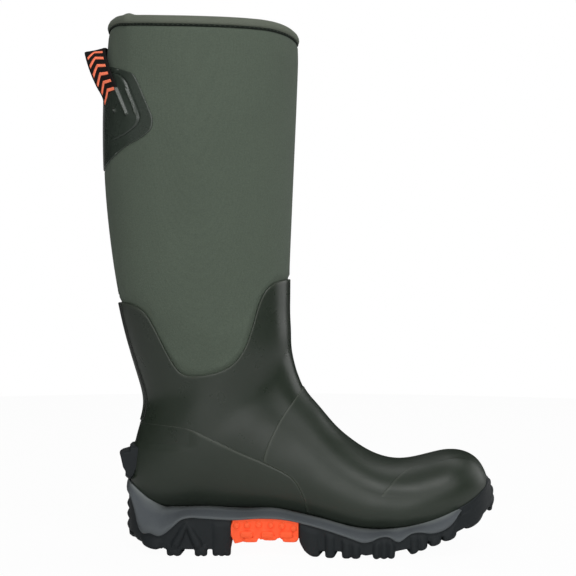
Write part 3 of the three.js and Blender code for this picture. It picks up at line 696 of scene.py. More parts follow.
def cap_t(angle):
    return first_crossing(lambda t: form(t, angle)[..., 0] - toe_cap_x(form(t, angle)[..., 2]), 2.0, 9.5)


def vamp_t(angle):
    """The vamp ends at its seam and, behind the foot's bend, at the heel quarter's upper edge."""
    def inside(t):
        p = form(t, angle)
        ahead = p[..., 0] - vamp_seam_x(p[..., 2])
        above = np.where(p[..., 0] > 92.5, 50.0, p[..., 2] - quarter_top_z(p[..., 0]))
        return np.minimum(ahead, above)

    return first_crossing(inside, 7.0, 15.5, 200)


def angle_where(inside, t):
    """For each t, the angle from the front at which inside(points) turns negative."""
    return first_crossing(lambda a: inside(form(t, a)), 0.02, math.pi - 0.001, 120)


# ---- Bootie, lining, rubber ----
fine_angle = turns(360)
rubber_edge_t = rubber_t(fine_angle)
rubber_edge_scale = edge_scale(rubber_edge_t, fine_angle)
collar_edge_t = collar_t(fine_angle)
collar_edge_scale = edge_scale(collar_edge_t, fine_angle)


def round_the_leg(values, angle):
    """Reads values given at fine_angle at other angles."""
    return np.interp(np.mod(angle, TURN), fine_angle, values, period=TURN)


def above_rubber(t, angle):
    """Millimetres above the rubber's edge."""
    return (t - round_the_leg(rubber_edge_t, angle)) / round_the_leg(rubber_edge_scale, angle)


def below_collar(t, angle):
    return (round_the_leg(collar_edge_t, angle) - t) / round_the_leg(collar_edge_scale, angle)


NEOPRENE_SUNK, NEOPRENE_SWELL = -0.4, 1.1
SWELL_RUN = 4
BINDING_REACH = 5.5


def neoprene_swell(t, angle):
    """The neoprene is sunk under the rubber and the binding, and stands out between them."""
    over = above_rubber(t, angle) / SWELL_RUN
    under = (below_collar(t, angle) - BINDING_REACH) / SWELL_RUN
    puffed = smooth_step(over) * smooth_step(under)
    return NEOPRENE_SUNK + NEOPRENE_SWELL * puffed + drape(t, angle) * puffed


# The cloth sheet: its rows and columns, its last frame, the heights between which the patch holds it, and the
# farthest that the result may stand off.
SHEET_ROWS, SHEET_AROUND = 64, 96
SETTLED_FRAME = 24
PATCH_FROM_Z, PATCH_TO_Z = 305, 405
DRAPE_LIMIT = 0.8
CLOTH_SETTINGS = {
    "quality": 6, "mass": 0.4, "tension_stiffness": 40, "compression_stiffness": 40, "shear_stiffness": 20,
    "bending_stiffness": 8, "shrink_min": -0.012, "use_pressure": True, "uniform_pressure_force": 2.0,
    "vertex_group_mass": "held", "pin_stiffness": 1,
}


def settled_sheet(rest, held):
    """Lets a cloth sheet settle from its points at rest, while the held ones stay. Gives its new points."""
    mesh = bpy.data.meshes.new("drape_sheet")
    faces = ring_faces(SHEET_ROWS, SHEET_AROUND, False)[:-2]
    mesh.from_pydata((rest.reshape(-1, 3) * MM).tolist(), [], faces)
    sheet = bpy.data.objects.new("drape_sheet", mesh)
    bpy.context.scene.collection.objects.link(sheet)
    group = sheet.vertex_groups.new(name="held")
    group.add(np.flatnonzero(held.ravel()).tolist(), 1.0, "REPLACE")
    cloth = sheet.modifiers.new("cloth", "CLOTH")
    for key, value in CLOTH_SETTINGS.items():
        setattr(cloth.settings, key, value)
    cloth.point_cache.frame_start = 1
    cloth.point_cache.frame_end = SETTLED_FRAME
    for number in range(1, SETTLED_FRAME + 1):
        bpy.context.scene.frame_set(number)
    graph = bpy.context.evaluated_depsgraph_get()
    settled = np.empty(rest.size, np.float32)
    sheet.evaluated_get(graph).data.vertices.foreach_get("co", settled)
    bpy.data.objects.remove(sheet)
    bpy.data.meshes.remove(mesh)
    bpy.context.scene.frame_set(1)
    return settled.reshape(rest.shape) / MM


def drape_field():
    """The slack of the neoprene leg: a cloth sheet round the leg, held at the rubber's edge, at the collar
    and under the patch, blown up a little and let settle. Gives its displacement along the normals."""
    angle = turns(SHEET_AROUND)
    low = round_the_leg(rubber_edge_t, angle)
    high = round_the_leg(collar_edge_t, angle)
    t = low + (high - low) * np.linspace(0, 1, SHEET_ROWS)[:, None]
    rest = form(t, angle)
    x, z = rest[..., 0], rest[..., 2]
    held = (x < patch_x(z)) & (z > PATCH_FROM_Z) & (z < PATCH_TO_Z)
    held[:2] = held[-3:] = True
    moved = np.sum((settled_sheet(rest, held) - rest) * form_normal(t, angle), -1)
    return DRAPE_LIMIT * np.tanh(moved / 3)


drape_moved = drape_field()


def drape(t, angle):
    """The sheet's displacement at a place on the leg, between its points."""
    low = round_the_leg(rubber_edge_t, angle)
    high = round_the_leg(collar_edge_t, angle)
    row = np.clip((t - low) / (high - low), 0, 1) * (SHEET_ROWS - 1)
    column = np.mod(angle, TURN) / TURN * SHEET_AROUND
    i = np.minimum(row.astype(int), SHEET_ROWS - 2)
    k = column.astype(int) % SHEET_AROUND
    n = (k + 1) % SHEET_AROUND
    u, v = row - i, column - np.floor(column)
    lower = drape_moved[i, k] * (1 - v) + drape_moved[i, n] * v
    upper = drape_moved[i + 1, k] * (1 - v) + drape_moved[i + 1, n] * v
    return lower * (1 - u) + upper * u


neoprene = shell("neoprene_bootie", collar_t, NEOPRENE_IN, 0.0, rim=0.8, rows=230, lift=neoprene_swell)
finish_piece(neoprene, "neoprene", bend=ANKLE_BEND, replaces=("bootie_shaft", "bootie_foot"))


def lining_t(angle):
    """The lining ends a little below the bootie's edge."""
    return collar_t(angle) - 0.05


lining = shell("fleece_lining", lining_t, LINING_IN, LINING_OUT, rim=0.8, rows=120, around=128)
finish_piece(lining, "fleece", bend=ANKLE_BEND, replaces=("shaft_lining", "foot_lining"))

rubber_lower = shell("rubber_lower", rubber_t, RUBBER_IN, RUBBER_OUT, rim=0.7, rows=200)
finish_piece(rubber_lower, "upper", bend=ANKLE_BEND, replaces=("foot_shell", "ankle_gaiter"))

cap_edge_t = cap_t(turns(AROUND))


def cap_fade(t, angle):
    """The toe cap's step melts into the vamp low on the sides and over the top."""
    z = form(t, angle)[..., 2]
    near = smooth_step(1 - (cap_edge_t - t) / 1.8)
    return -0.9 * near * np.maximum(smooth_step((54 - z) / 8), smooth_step((z - 70) / 4))


toe_cap = shell("toe_cap_overlay", cap_t, OVERLAY_IN, OVERLAY_OUT + 0.35, rim=0.9, rows=70, lift=cap_fade)
finish_piece(toe_cap, "overlay", "foot", replaces=("toe_cap",))

vamp = shell("vamp_overlay_rubber", vamp_t, OVERLAY_IN, OVERLAY_OUT - 0.35, rim=0.7, rows=110)
finish_piece(vamp, "overlay", bend=ANKLE_BEND, replaces=("vamp_overlay",))


def quarter_fade(p):
    """Towards the heel the quarter's top edge sinks into the rubber."""
    return -1.15 * smooth_step((2 - p[..., 0]) / 12) * smooth_step((p[..., 2] - 84) / 8)


def quarter_angle(t):
    return angle_where(lambda p: p[..., 2] - quarter_top_z(p[..., 0]), t)


quarter = pillow("heel_quarter_overlay", (9.62, 18.42), quarter_angle, OVERLAY_IN, height=1.0, rim=0.8,
                 rows=130, columns=120, lift=quarter_fade)
finish_piece(quarter, "overlay", bend=ANKLE_BEND, replaces=("heel_quarter",))


def back_angle(t, half_width):
    """The angle on the inner side, towards the back, where the form is half_width off the centre plane."""
    return first_crossing(lambda a: form(t, a)[..., 1] - half_width, math.pi / 2, math.pi - 0.001)


STAY_HALF_WIDTH, TAPE_HALF_WIDTH = 13.5, 8.0
stay = pillow("back_stay_strip", (18.5, 22.31), lambda t: back_angle(t, STAY_HALF_WIDTH), OVERLAY_IN,
              height=1.1, rim=0.6, rows=60, columns=24)
finish_piece(stay, "stay", bend=ANKLE_BEND, replaces=("back_stay",))

tape = pillow("back_seam_strip", (22.5, 24.85), lambda t: back_angle(t, TAPE_HALF_WIDTH), ON_NEOPRENE,
              height=0.8, rim=0.7, rows=90, columns=10)
finish_piece(tape, "tape", "shaft", replaces=("back_seam_tape",))


def ridge_line(p, start, end, width, height):
    """A rounded bar on the patch from start to end, seen from the side."""
    x, z = p[..., 0] - start[0], p[..., 2] - start[1]
    dx, dz = end[0] - start[0], end[1] - start[1]
    along = np.clip((x * dx + z * dz) / (dx * dx + dz * dz), 0, 1)
    return height * hump(np.hypot(x - dx * along, z - dz * along), width)


def patch_relief(p):
    """A raised field with a groove round it and a rim along its front, and a rib and a dot on it."""
    x, z = p[..., 0], p[..., 2]
    inside = np.where((z > 334) & (z < 396), plateau_x(z) - x, -10)
    shown = smooth_step((x + 75) / 12)
    plateau = 0.7 * smooth_step(inside / 1.3) * smooth_step((z - 342) / 16)
    groove = -0.9 * hump(inside + 0.9, 0.7)
    high = smooth_step((z - 356) / 4) * smooth_step((382 - z) / 4)
    rim = 1.3 * high * hump(inside - 1.3, 0.85)
    rib = ridge_line(p, (-64.1, 380.6), (-54.9, 358.7), 0.8, 2.6)
    dot = ridge_line(p, (-65.9, 363), (-65.5, 362.4), 0.9, 2.0)
    return (plateau + groove * (1 - 0.6 * high) + rim) * shown + rib + dot


def patch_angle(t):
    return angle_where(lambda p: p[..., 0] - patch_x(p[..., 2]), t)


patch = pillow("pull_loop_patch", (24.8, 26.46), patch_angle, ON_NEOPRENE, height=1.6, rim=1.0, rows=190,
               columns=280, lift=patch_relief)
finish_piece(patch, "patch", "shaft", replaces=("pull_patch",))


# ---- Collar binding ----
COLLAR_AROUND = 240
# The tape's ends overlap at the back, on the outer side.
OVERLAP_ANGLE = 3.836
OVERLAP_HALF_WIDTH = 3.6
OVERLAP_THICKENING = 1.5
LEG_RADIUS = 55
# Cross-sections: millimetres out from the leg and down from its edge.
BINDING_PROFILE = [(-0.1, 4.9), (1.0, 5.0), (1.9, 4.3), (2.25, 3.0), (2.1, 1.3), (1.3, -0.5), (-0.2, -1.9),
                   (-2.2, -2.6), (-4.2, -2.7), (-6.2, -2.3), (-7.8, -1.3), (-8.9, 0.4), (-9.3, 2.6),
                   (-9.2, 6), (-8.8, 8.2), (-7.4, 8.4), (-7.2, 2.5), (-6.2, 0.6), (-3.7, 0.2), (-1.2, 0.6),
                   (-0.2, 2.5)]
HEM_PROFILE = [(-0.1, 4.9), (0.9, 5.0), (1.15, 5.4), (1.2, 6.0), (0.8, 6.6), (0, 6.9), (-0.4, 6.5),
               (-0.4, 5.3)]


def down_from(t, angle):
    """The direction down along the leg."""
    return unit(form(t - 0.02, angle) - form(t + 0.02, angle))


def collar_tape(name, profile, overlap):
    """A tape round the collar. overlap holds, for each angle, the share of the thickening there. It is full
    on the outer side, slight on the inner side, and leaves out the tape's lower ends."""
    angle = turns(COLLAR_AROUND)
    edge_t = collar_t(angle)
    edge_down = down_from(edge_t, angle)
    rings = []
    for out, down in profile:
        swell = overlap * OVERLAP_THICKENING if down < 5 and out > -9 else np.zeros(COLLAR_AROUND)
        spot = surface(edge_t, angle, out + swell * (0.8 if out > 0.5 else 0.2))
        rings.append(spot + edge_down * (down - swell * (down < 2))[..., None])
    return loft(name, np.array(rings).transpose(1, 0, 2), closed=True)


overlap = hump((turns(COLLAR_AROUND) - OVERLAP_ANGLE) * LEG_RADIUS, OVERLAP_HALF_WIDTH)
binding = collar_tape("collar_binding_tape", BINDING_PROFILE, overlap)
finish_piece(binding, "binding", "shaft", replaces=("collar_binding",))

# The tape's stitched hem, folded under below the rolled edge.
hem = collar_tape("collar_binding_hem", HEM_PROFILE, np.zeros(COLLAR_AROUND))
finish_piece(hem, "hem", "shaft")

STITCH_COUNT = 118
STITCH_OUT, STITCH_DOWN = 1.1, 5.8
# Where a stitch starts and ends, as shares of the pitch.
STITCH_SPAN = np.array([0.28, 0.72])
# Each stitch: places along it, and its radius there.
STITCH_FORM = ((0.0, 0.1), (0.1, 0.3), (0.5, 0.36), (0.9, 0.3), (1.0, 0.1))
stitches = []
for i in range(STITCH_COUNT):
    a = STITCH_SPAN * TURN / STITCH_COUNT + i * TURN / STITCH_COUNT
    t = collar_t(a)
    down = down_from(t, a)
    ends = surface(t, a, np.full(2, STITCH_OUT)) + down * STITCH_DOWN
    n = form_normal(t, a)
    ring = []
    for share, radius in STITCH_FORM:
        c = ends[0] + (ends[1] - ends[0]) * share
        ring.append([c + (n[0] * math.cos(q) + down[0] * math.sin(q)) * radius for q in turns(6)])
    stitches.append(ring)
finish_piece(join_solids("collar_stitching", stitches), "stitch", "shaft")


# ---- Pull loop ----
# A section at the back of the leg, its height and the distance up to the next one.
LEG_T, LEG_Z, LEG_RISE = 25, 324.2, 59.5


def on_leg(y, z, out):
    """A point near the back of the leg, y off its middle on the outer side and at about the height z."""
    t = np.array([LEG_T + (z - LEG_Z) / LEG_RISE])
    return surface(t, TURN - back_angle(t, y), np.array([out]))[0]


# The strap's two edges, from where it is moulded into the patch up to the middle of the loop.
front_edge = catmull([on_leg(38, 377, 1.2), on_leg(37.6, 384, 3.8), [-70.4, -35.5, 393], [-73.4, -32, 401.5],
                      [-76.2, -25.5, 410.3], [-77.8, -15, 417], [-78.4, 0, 419.4]], 10)
rear_edge = catmull([on_leg(17, 366, 1.2), on_leg(18.5, 375, 3.4), [-84.8, -19.5, 385], [-89.6, -20, 396],
                     [-93.4, -18, 406.6], [-95.8, -12, 413.6], [-96.3, 0, 415.4]], 10)
front_edge = np.vstack([front_edge, (front_edge * (1, -1, 1))[-2::-1]])
rear_edge = np.vstack([rear_edge, (rear_edge * (1, -1, 1))[-2::-1]])
middle_steps = np.linalg.norm(np.diff((front_edge + rear_edge) / 2, axis=0), axis=1)
lengths = np.concatenate([[0], np.cumsum(middle_steps)])
STRAP_LENGTH = lengths[-1]
STRAP_WIDTH = 20
STRAP_HALF_THICKNESS = 0.9
STRAP_HOLLOW = 0.5
STRAP_ACROSS = 14
# A small step along the strap, for its direction.
STRAP_STEP = 0.6


def strap_point(along_mm, share, out):
    """A point of the strap: along it, across from the rear edge (0) to the front edge (1), and outwards."""
    def at(edge, s):
        return np.stack([np.interp(s, lengths, edge[:, k]) for k in range(3)], -1)

    rear, front = at(rear_edge, along_mm), at(front_edge, along_mm)
    ahead = np.minimum(along_mm + STRAP_STEP, STRAP_LENGTH)
    behind = np.maximum(along_mm - STRAP_STEP, 0)
    run = at(rear_edge, ahead) + at(front_edge, ahead) - at(rear_edge, behind) - at(front_edge, behind)
    n = unit(np.cross(front - rear, run))
    hollow = STRAP_HOLLOW * (1 - (2 * share - 1) ** 2)
    return rear + (front - rear) * share[..., None] + n * (out - hollow)[..., None]


loops, cloth = [], []
for s in np.linspace(0, STRAP_LENGTH, 120):
    face = [(q, STRAP_HALF_THICKNESS) for q in np.linspace(0, 1, STRAP_ACROSS)]
    face[0], face[-1] = (0.0, 0.4), (1.0, 0.4)
    share, out = np.array(face + [(q, -o) for q, o in reversed(face)]).T
    along = np.full(len(share), s)
    loops.append(strap_point(along, share, out))
    cloth.append(np.stack([share * STRAP_WIDTH, along, along * 0], -1))
strap = loft("pull_loop_strap", loops, cloth=np.array(cloth))
finish_piece(strap, "webbing", bend=LOOP_BEND, replaces=("pull_loop",))

# Woven chevrons on both legs of the loop.
CHEVRON_FIRST, CHEVRON_PITCH, CHEVRON_COUNT = 7.6, 7.7, 6
CHEVRON_APEX = 0.46
CHEVRON_THICKNESS = 2.7
CHEVRON_OUT = 1.16
# The two arms: how far they reach across the strap and how far they drop.
CHEVRON_ARMS = ((-0.36, 6.4), (0.41, 3.4))


def chevron_arm(apex, reach, drop, far_leg):
    rings = []
    for step in np.linspace(0, 1, 9):
        low = apex - step * drop
        along = np.array([low, low + CHEVRON_THICKNESS, low + CHEVRON_THICKNESS, low])
        if far_leg:
            along = STRAP_LENGTH - along
        out = np.array([CHEVRON_OUT, CHEVRON_OUT, 0.7, 0.7])
        rings.append(strap_point(along, np.full(4, CHEVRON_APEX + reach * step), out))
    return rings


chevrons = []
for far_leg in (False, True):
    for i in range(CHEVRON_COUNT):
        for reach, drop in CHEVRON_ARMS:
            chevrons.append(chevron_arm(CHEVRON_FIRST + i * CHEVRON_PITCH, reach, drop, far_leg))
finish_piece(join_solids("pull_loop_chevrons", chevrons), "chevron", bend=LOOP_BEND)


# ---- Sole ----
outline = catmull(SOLE_OUTLINE, 24, closed=True)
outline = np.vstack([outline, outline[:1]])
outline_s = np.concatenate([[0], np.cumsum(np.linalg.norm(np.diff(outline, axis=0), axis=1))])
PERIMETER = outline_s[-1]
TOE_INDEX = int(outline[:, 0].argmax())


def outline_at(s):
    """The outline's point at a distance round it, from the back of the heel along the outer side."""
    s = np.mod(s, PERIMETER)
    return np.stack([np.interp(s, outline_s, outline[:, k]) for k in range(2)], -1)


def outline_normal(s):
    d = outline_at(s + 1.0) - outline_at(s - 1.0)
    return unit(np.stack([d[..., 1], -d[..., 0]], -1))


def s_at_x(x, side):
    """Distance round the outline at x; side -1 is the outer side of the foot, 1 the inner."""
    if side < 0:
        return np.interp(x, outline[: TOE_INDEX + 1, 0], outline_s[: TOE_INDEX + 1])
    return np.interp(-np.asarray(x, float), -outline[TOE_INDEX:, 0], outline_s[TOE_INDEX:])


def wall(s, out, z):
    """A point at the sole's outline, pushed outwards by out."""
    s, out, z = np.broadcast_arrays(s, out, z)
    return np.concatenate([outline_at(s) + outline_normal(s) * out[..., None], z[..., None]], -1)


GRID_ROWS, GRID_COLUMNS = 160, 145
grid_t = np.linspace(0.02, 18, GRID_ROWS)[:, None]
grid_angle = np.linspace(0, TURN, GRID_COLUMNS)[None, :]
grid = surface(grid_t, grid_angle, np.full((GRID_ROWS, GRID_COLUMNS), OVERLAY_OUT))
corners = [i * GRID_COLUMNS + j for i in range(GRID_ROWS - 1) for j in range(GRID_COLUMNS - 1)]
upper_tree = BVHTree.FromPolygons(
    [Vector(p) for p in grid.reshape(-1, 3)],
    [(c, c + 1, c + 1 + GRID_COLUMNS, c + GRID_COLUMNS) for c in corners],
)


def inset_to_upper(s, z):
    """How far in from the sole's outline the upper's surface lies, at a height."""
    inset = []
    for p, n, height in zip(outline_at(s), outline_normal(s), z):
        start = Vector((*(p + n * 10), height))
        hit = upper_tree.ray_cast(start, Vector((-n[0], -n[1], 0)), 40)
        inset.append(hit[3] - 10 if hit[0] is not None else 3.0)
    return np.array(inset)


def wall_rings(s, rows):
    """Rings of points along the sole's wall from rows of (out, z)."""
    return np.stack([wall(s, out, z) for out, z in rows], 1)


# The rows of sole_rim() that form its rounded upper edge.
RIM_SHOULDER, RIM_TOP = 5, 6


def sole_rim(s, low_z, high_z, lip, base_out, depth):
    """Rings of a wall that leans from the sole's outline in to the upper, and its edge values."""
    x = outline_at(s)[:, 0]
    low, high = low_z(x), high_z(x)
    inset = np.maximum(inset_to_upper(s, high) - lip, -0.5)
    inset = np.convolve(np.pad(inset, 4, mode="edge"), np.ones(9) / 9, mode="valid")
    rise = high - low
    rows = [
        (-depth, low + 0.6),
        (-1.2 + base_out, low),
        (base_out, low + np.minimum(1.0, rise * 0.2)),
        (base_out + 0.3 - inset * 0.15, low + rise * 0.35),
        (base_out - inset * 0.55, low + rise * 0.7),
        (base_out * 0.5 - inset * 0.86, high - np.minimum(1.5, rise * 0.16)),
        (-inset - 0.35, high),
        (-inset - 1.4, high + 0.05),
        (-inset - lip - 1.2, high - 0.6),
        (-depth, low + rise * 0.5),
    ]
    # The rounded top is marked for a painted highlight along the midsole's upper edge, fainter on the
    # shoulder below.
    edge = np.zeros((len(s), len(rows)))
    edge[:, RIM_SHOULDER] = 0.35
    edge[:, RIM_TOP] = 1
    return wall_rings(s, rows), edge


rim_s = np.linspace(s_at_x(214.4, 1) - PERIMETER, s_at_x(214.4, -1), 420)
rings, edge = sole_rim(rim_s, midsole_bottom_z, midsole_top_z, lip=1.9, base_out=0.6, depth=15.0)
midsole = loft("midsole_rim", rings, edge=edge)
finish_piece(midsole, "midsole", "foot", replaces=("midsole",))


def slab(x0, x1, inset, low_z, high_z, count=90):
    """A block across the whole sole from x0 to x1, as rings of four points."""
    x = x0 + (x1 - x0) * (1 - np.cos(np.linspace(0, math.pi, count))) / 2
    outer = outline_at(s_at_x(x, -1))[:, 1] + inset
    inner = outline_at(s_at_x(x, 1))[:, 1] - inset
    middle = (outer + inner) / 2
    outer, inner = np.minimum(outer, middle - 0.4), np.maximum(inner, middle + 0.4)
    low, high = low_z(x), high_z(x)
    corners = ((outer, low), (inner, low), (inner, high), (outer, high))
    return np.stack([np.stack([x, y, z], -1) for y, z in corners], 1)


def bottom_z(x):
    """The lowest z of the lugs."""
    return tread_z(x) + rear_bevel_z(x)


def edge_lug(x0, x1, flutes, side, high_z, notches=None, proud=0.0):
    """A lug at the sole's edge. Its outer face bulges once per flute, and its foot is cut into as many toes
    as there are notches. Side 0 goes round the back of the heel."""
    notches = notches or flutes
    count = 14 * max(flutes, notches) + 3
    q = np.linspace(0, 1, count)
    if side:
        x = x0 + (x1 - x0) * q
        s = s_at_x(x, side)
    else:
        s = (s_at_x(x0, 1) - PERIMETER) * (1 - q) + s_at_x(x0, -1) * q
        x = outline_at(s)[:, 0]
    crest = np.abs(np.sin(math.pi * flutes * q)) ** 0.55
    out = proud - 1.3 + 2.6 * crest
    low = bottom_z(x) + 1.6 * (1 - np.abs(np.sin(math.pi * notches * q)) ** 0.4)
    shelf = np.maximum(tread_z(x) + LUG_DEPTH + 1.5, low + 2)
    top = np.maximum(high_z(x) - 1.6, shelf + 1)
    rows = [(-21, low), (-21, shelf), (-4, shelf), (-2.6, top), (out * 0.25 - 0.6, top - 0.6),
            (out * 0.75, top - 3.2), (out, (top + low) / 2), (out + 0.1, low + 2.2), (out - 1.1, low)]
    return wall_rings(s, rows)


def centre_block(points):
    """A block on the underside, 9 mm tall, from its points seen from above."""
    p = np.array(points, float)
    return np.stack([np.column_stack([p, bottom_z(p[:, 0]) + rise]) for rise in (0, 9)])


def bead(s, z, out, radius, squash=1.0, sides=10):
    """A round bar along the sole's wall, slimmer at its ends."""
    p = wall(s, out, z)
    n = np.concatenate([outline_normal(s), np.zeros((len(s), 1))], -1)
    up = np.cross(unit(np.gradient(p, axis=0)), n)
    from_end = np.minimum(np.arange(len(s)), np.arange(len(s))[::-1])
    taper = np.clip(0.35 + 0.65 * from_end / 3, 0, 1)
    size = (np.asarray(radius) * taper)[:, None]
    rings = [p + (n * math.cos(q) * squash + up * math.sin(q)) * size for q in turns(sides)]
    return np.stack(rings, 1)


def heel_top(x):
    return midsole_bottom_z(x) + 0.8


# The inverted V on the heel's side: apex, feet and how far it comes down.
RIB_APEX_X, RIB_FEET_X = -8.6, (-20.0, 3.6)
RIB_TOP_Z, RIB_DROP = 27.0, 23.0
# The ribs across the back of the heel: z, and how far they reach round on both sides.
HEEL_RIBS = ((37.8, 17), (29.2, 19), (20.4, 21))
heel_parts = [slab(-58.4, 27.5, 1.0, lambda x: bottom_z(x) + LUG_DEPTH, heel_top)]
for side in (-1, 1):
    for x0, x1, flutes, notches, tall in HEEL_LUGS:
        lug_top = lambda x: np.minimum(midsole_bottom_z(x), tall)
        heel_parts.append(edge_lug(x0, x1, flutes, side, lug_top, notches))
    for foot_x in RIB_FEET_X:
        reach = np.linspace(0, 1, 14)
        s = s_at_x(RIB_APEX_X + (foot_x - RIB_APEX_X) * reach, side)
        z = RIB_TOP_Z - RIB_DROP * reach
        heel_parts.append(bead(s, z, out=-0.7, radius=1.9 + 2.6 * reach, squash=0.75))
heel_parts.append(centre_block([[-13, -12], [13, -12], [13, 12], [-13, 12]]))
heel_parts.append(edge_lug(-45, 0, 5, 0, lambda x: np.full_like(x, 17.0), proud=-2.8))
for z, reach in HEEL_RIBS:
    s = np.linspace(-reach, reach, 31)
    heel_parts.append(bead(s, z, out=-3.9, radius=4.1, squash=1.05))
heel = join_solids("heel_tread", heel_parts)
fuse(heel, voxel=0.65, smoothing=2)
finish_piece(heel, "outsole", "foot", replaces=("heel_outsole",))


def chevron_bar(x):
    """A bent bar across the forefoot, pointing forwards."""
    back = [[x - 2.5, 22], [x - 11.5, 22]]
    return centre_block([[x - 4.5, 0], [x - 11.5, -22], [x - 2.5, -22], [x + 4.5, 0], *back])


def forefoot_top(x):
    side = midsole_bottom_z(np.minimum(x, 213)) + 0.8
    return np.where(x < 213, side, np.minimum(bumper_top_z(x) - 6, 42))


def forefoot_low(x):
    """The sole between the lugs. Under the ball it comes lower."""
    return np.maximum(tread_z(x) + LUG_DEPTH - 2.8 * hump(x - 137, 7), bottom_z(x) + 1)


def forefoot_lug_top(x):
    return np.where(x < 212, midsole_bottom_z(x), 33.0)


def bumper_low(x):
    return np.minimum(tread_z(x) + 3.5, bumper_top_z(x) - 4)


# The ribs across the toe: z, how far they reach round on both sides, radius, and how far they stand back.
TOE_RIBS = ((54.4, 17, 2.5, 2.0), (48.2, 21, 2.9, 0.0), (41.6, 19, 2.9, -0.6), (35.4, 12, 2.5, 0.9))
RIB_POINTS = 41
fore_parts = [slab(83.0, 246.2, 1.0, forefoot_low, forefoot_top, 120)]
for side in (-1, 1):
    for x0, x1, flutes in FOREFOOT_LUGS:
        proud = -1.8 if x0 > 215 else 0.0
        fore_parts.append(edge_lug(x0, x1, flutes, side, forefoot_lug_top, proud=proud))
fore_parts += [chevron_bar(x) for x in FOREFOOT_BARS]
bumper_s = np.linspace(s_at_x(205.5, -1), s_at_x(205.5, 1), 220)
fore_parts.append(sole_rim(bumper_s, bumper_low, bumper_top_z, lip=1.6, base_out=-0.6, depth=12.0)[0])
toe_s = outline_s[TOE_INDEX]
for z, reach, radius, back in TOE_RIBS:
    s = np.linspace(toe_s - reach, toe_s + reach, RIB_POINTS)
    lean = inset_to_upper(s, np.full(RIB_POINTS, 57.0))
    lean = (lean - lean[RIB_POINTS // 2]) * np.clip((z - 34) / 24, 0, 1)
    out = -back - radius - np.maximum(lean, 0)
    fore_parts.append(bead(s, z - 0.3 * np.abs(s - toe_s), out, radius))
forefoot = join_solids("forefoot_tread", fore_parts)
fuse(forefoot, voxel=0.65, smoothing=2)
finish_piece(forefoot, "outsole", "foot", replaces=("forefoot_outsole",))


# ---- Arch insert with its studs ----
def arch_high_z(x):
    return np.where(x < 29.4, 19.9 + (x - 26) * 2.9, midsole_bottom_z(x) + 0.6)


def squircle(count, power):
    """Points of a round form with radius 1. Below 1, the power makes it squarer."""
    wave = np.stack([np.cos(turns(count)), np.sin(turns(count))], -1)
    return np.sign(wave) * np.abs(wave) ** power


def stud(x, z, side, half_length, half_height, rise, taper, power=0.45):
    """A moulded block on the sole's wall, narrower at its face by taper. A power of 1 makes it round."""
    rings = []
    for out, grow in ((-3.5, 1.0), (-1.3, 1.0), (rise - 1.4, (1 + taper) / 2), (rise - 1.15, taper)):
        around = squircle(16, power) * (half_length * grow, half_height * grow)
        rings.append(wall(s_at_x(x + around[:, 0], side), out, z + around[:, 1]))
    return rings


SMALL_STUD = dict(half_length=2.5, half_height=2.5, rise=2.9, taper=0.7, power=1.0)
LARGE_STUD = dict(half_length=5.2, half_height=2.5, rise=2.4, taper=0.86)
FLAT_STUD = dict(half_length=5.6, half_height=1.7, rise=1.2, taper=0.9)
STUDS = (
    (SMALL_STUD, ((32, 24.8), (40.7, 24.9), (50.1, 25.4), (59.9, 25.1), (69, 24.6), (78.4, 22.8))),
    (LARGE_STUD, ((40.3, 17.4), (57.2, 17.4), (72.3, 17.4))),
    (FLAT_STUD, ((43.5, 12.6), (59, 14.2), (75, 13.0))),
)
arch_parts = [slab(26.2, 82.4, 1.4, arch_low_z, arch_high_z, 140)]
for side in (-1, 1):
    for kind, places in STUDS:
        arch_parts += [stud(x, z, side, **kind) for x, z in places]
arch = join_solids("arch_block", arch_parts)
fuse(arch, voxel=0.6, smoothing=1)
finish_piece(arch, "arch", "foot", replaces=("arch_insert",))

# ---- Kick-off spur ----
SPUR_PROFILE = [[-44, 86], [-55, 87.4], [-58.6, 87.2], [-59, 83.6], [-67.4, 81.2], [-66.6, 78],
                [-64.6, 68.4], [-62.4, 64.4], [-62.6, 60.6], [-60.6, 58.6], [-58.4, 57.4], [-56.2, 59.6],
                [-54, 66], [-44, 68]]
SPUR_HALF_WIDTH, SPUR_MIDDLE_Z = 19, 76
SPUR_CURVE = 38
spur_rings = []
for y in np.linspace(-SPUR_HALF_WIDTH, SPUR_HALF_WIDTH, 25):
    forward = 0.35 * (SPUR_CURVE - math.sqrt(SPUR_CURVE**2 - y**2))
    pinch = 1 - 0.18 * (abs(y) / SPUR_HALF_WIDTH) ** 4
    ring = [[x + forward, y, SPUR_MIDDLE_Z + (z - SPUR_MIDDLE_Z) * pinch] for x, z in SPUR_PROFILE]
    spur_rings.append(ring)
spur = join_solids("kick_off_spur", [spur_rings])
fuse(spur, voxel=0.6, smoothing=2)
finish_piece(spur, "outsole", "foot", replaces=("heel_spur",))

# ---- Footbed ----
# Its middle's height above the sole's line; the height at which the inside's width is read, and how far the
# footbed's sides stay in from there; how far its sides curl up.
BED_HEIGHT = 12.2
BED_HALF_THICKNESS = 2.2
WIDTH_READ_AT, BED_SIDE_GAP = 12.5, 8.2
BED_CUP = 2.0
bed_rings = []
for t in np.linspace(1.6, 15.4, 70):
    sole, top = form(t, math.pi), form(t, 0.0)
    tall = np.linalg.norm(top - sole)
    up = (top - sole) / tall
    a = math.acos(2 * WIDTH_READ_AT / tall - 1)
    left, right = form(t, a)[1] - BED_SIDE_GAP, form(t, -a)[1] + BED_SIDE_GAP
    middle, half = (left + right) / 2, max((left - right) / 2, 1.0)
    ring = []
    for across, rise in squircle(20, 0.45) * (half, BED_HALF_THICKNESS):
        cup = BED_CUP * (across / half) ** 4
        ring.append(sole * (1, 0, 1) + (0, middle + across, 0) + up * (BED_HEIGHT + rise + cup))
    bed_rings.append(ring)
footbed = loft("footbed_insole", bed_rings)
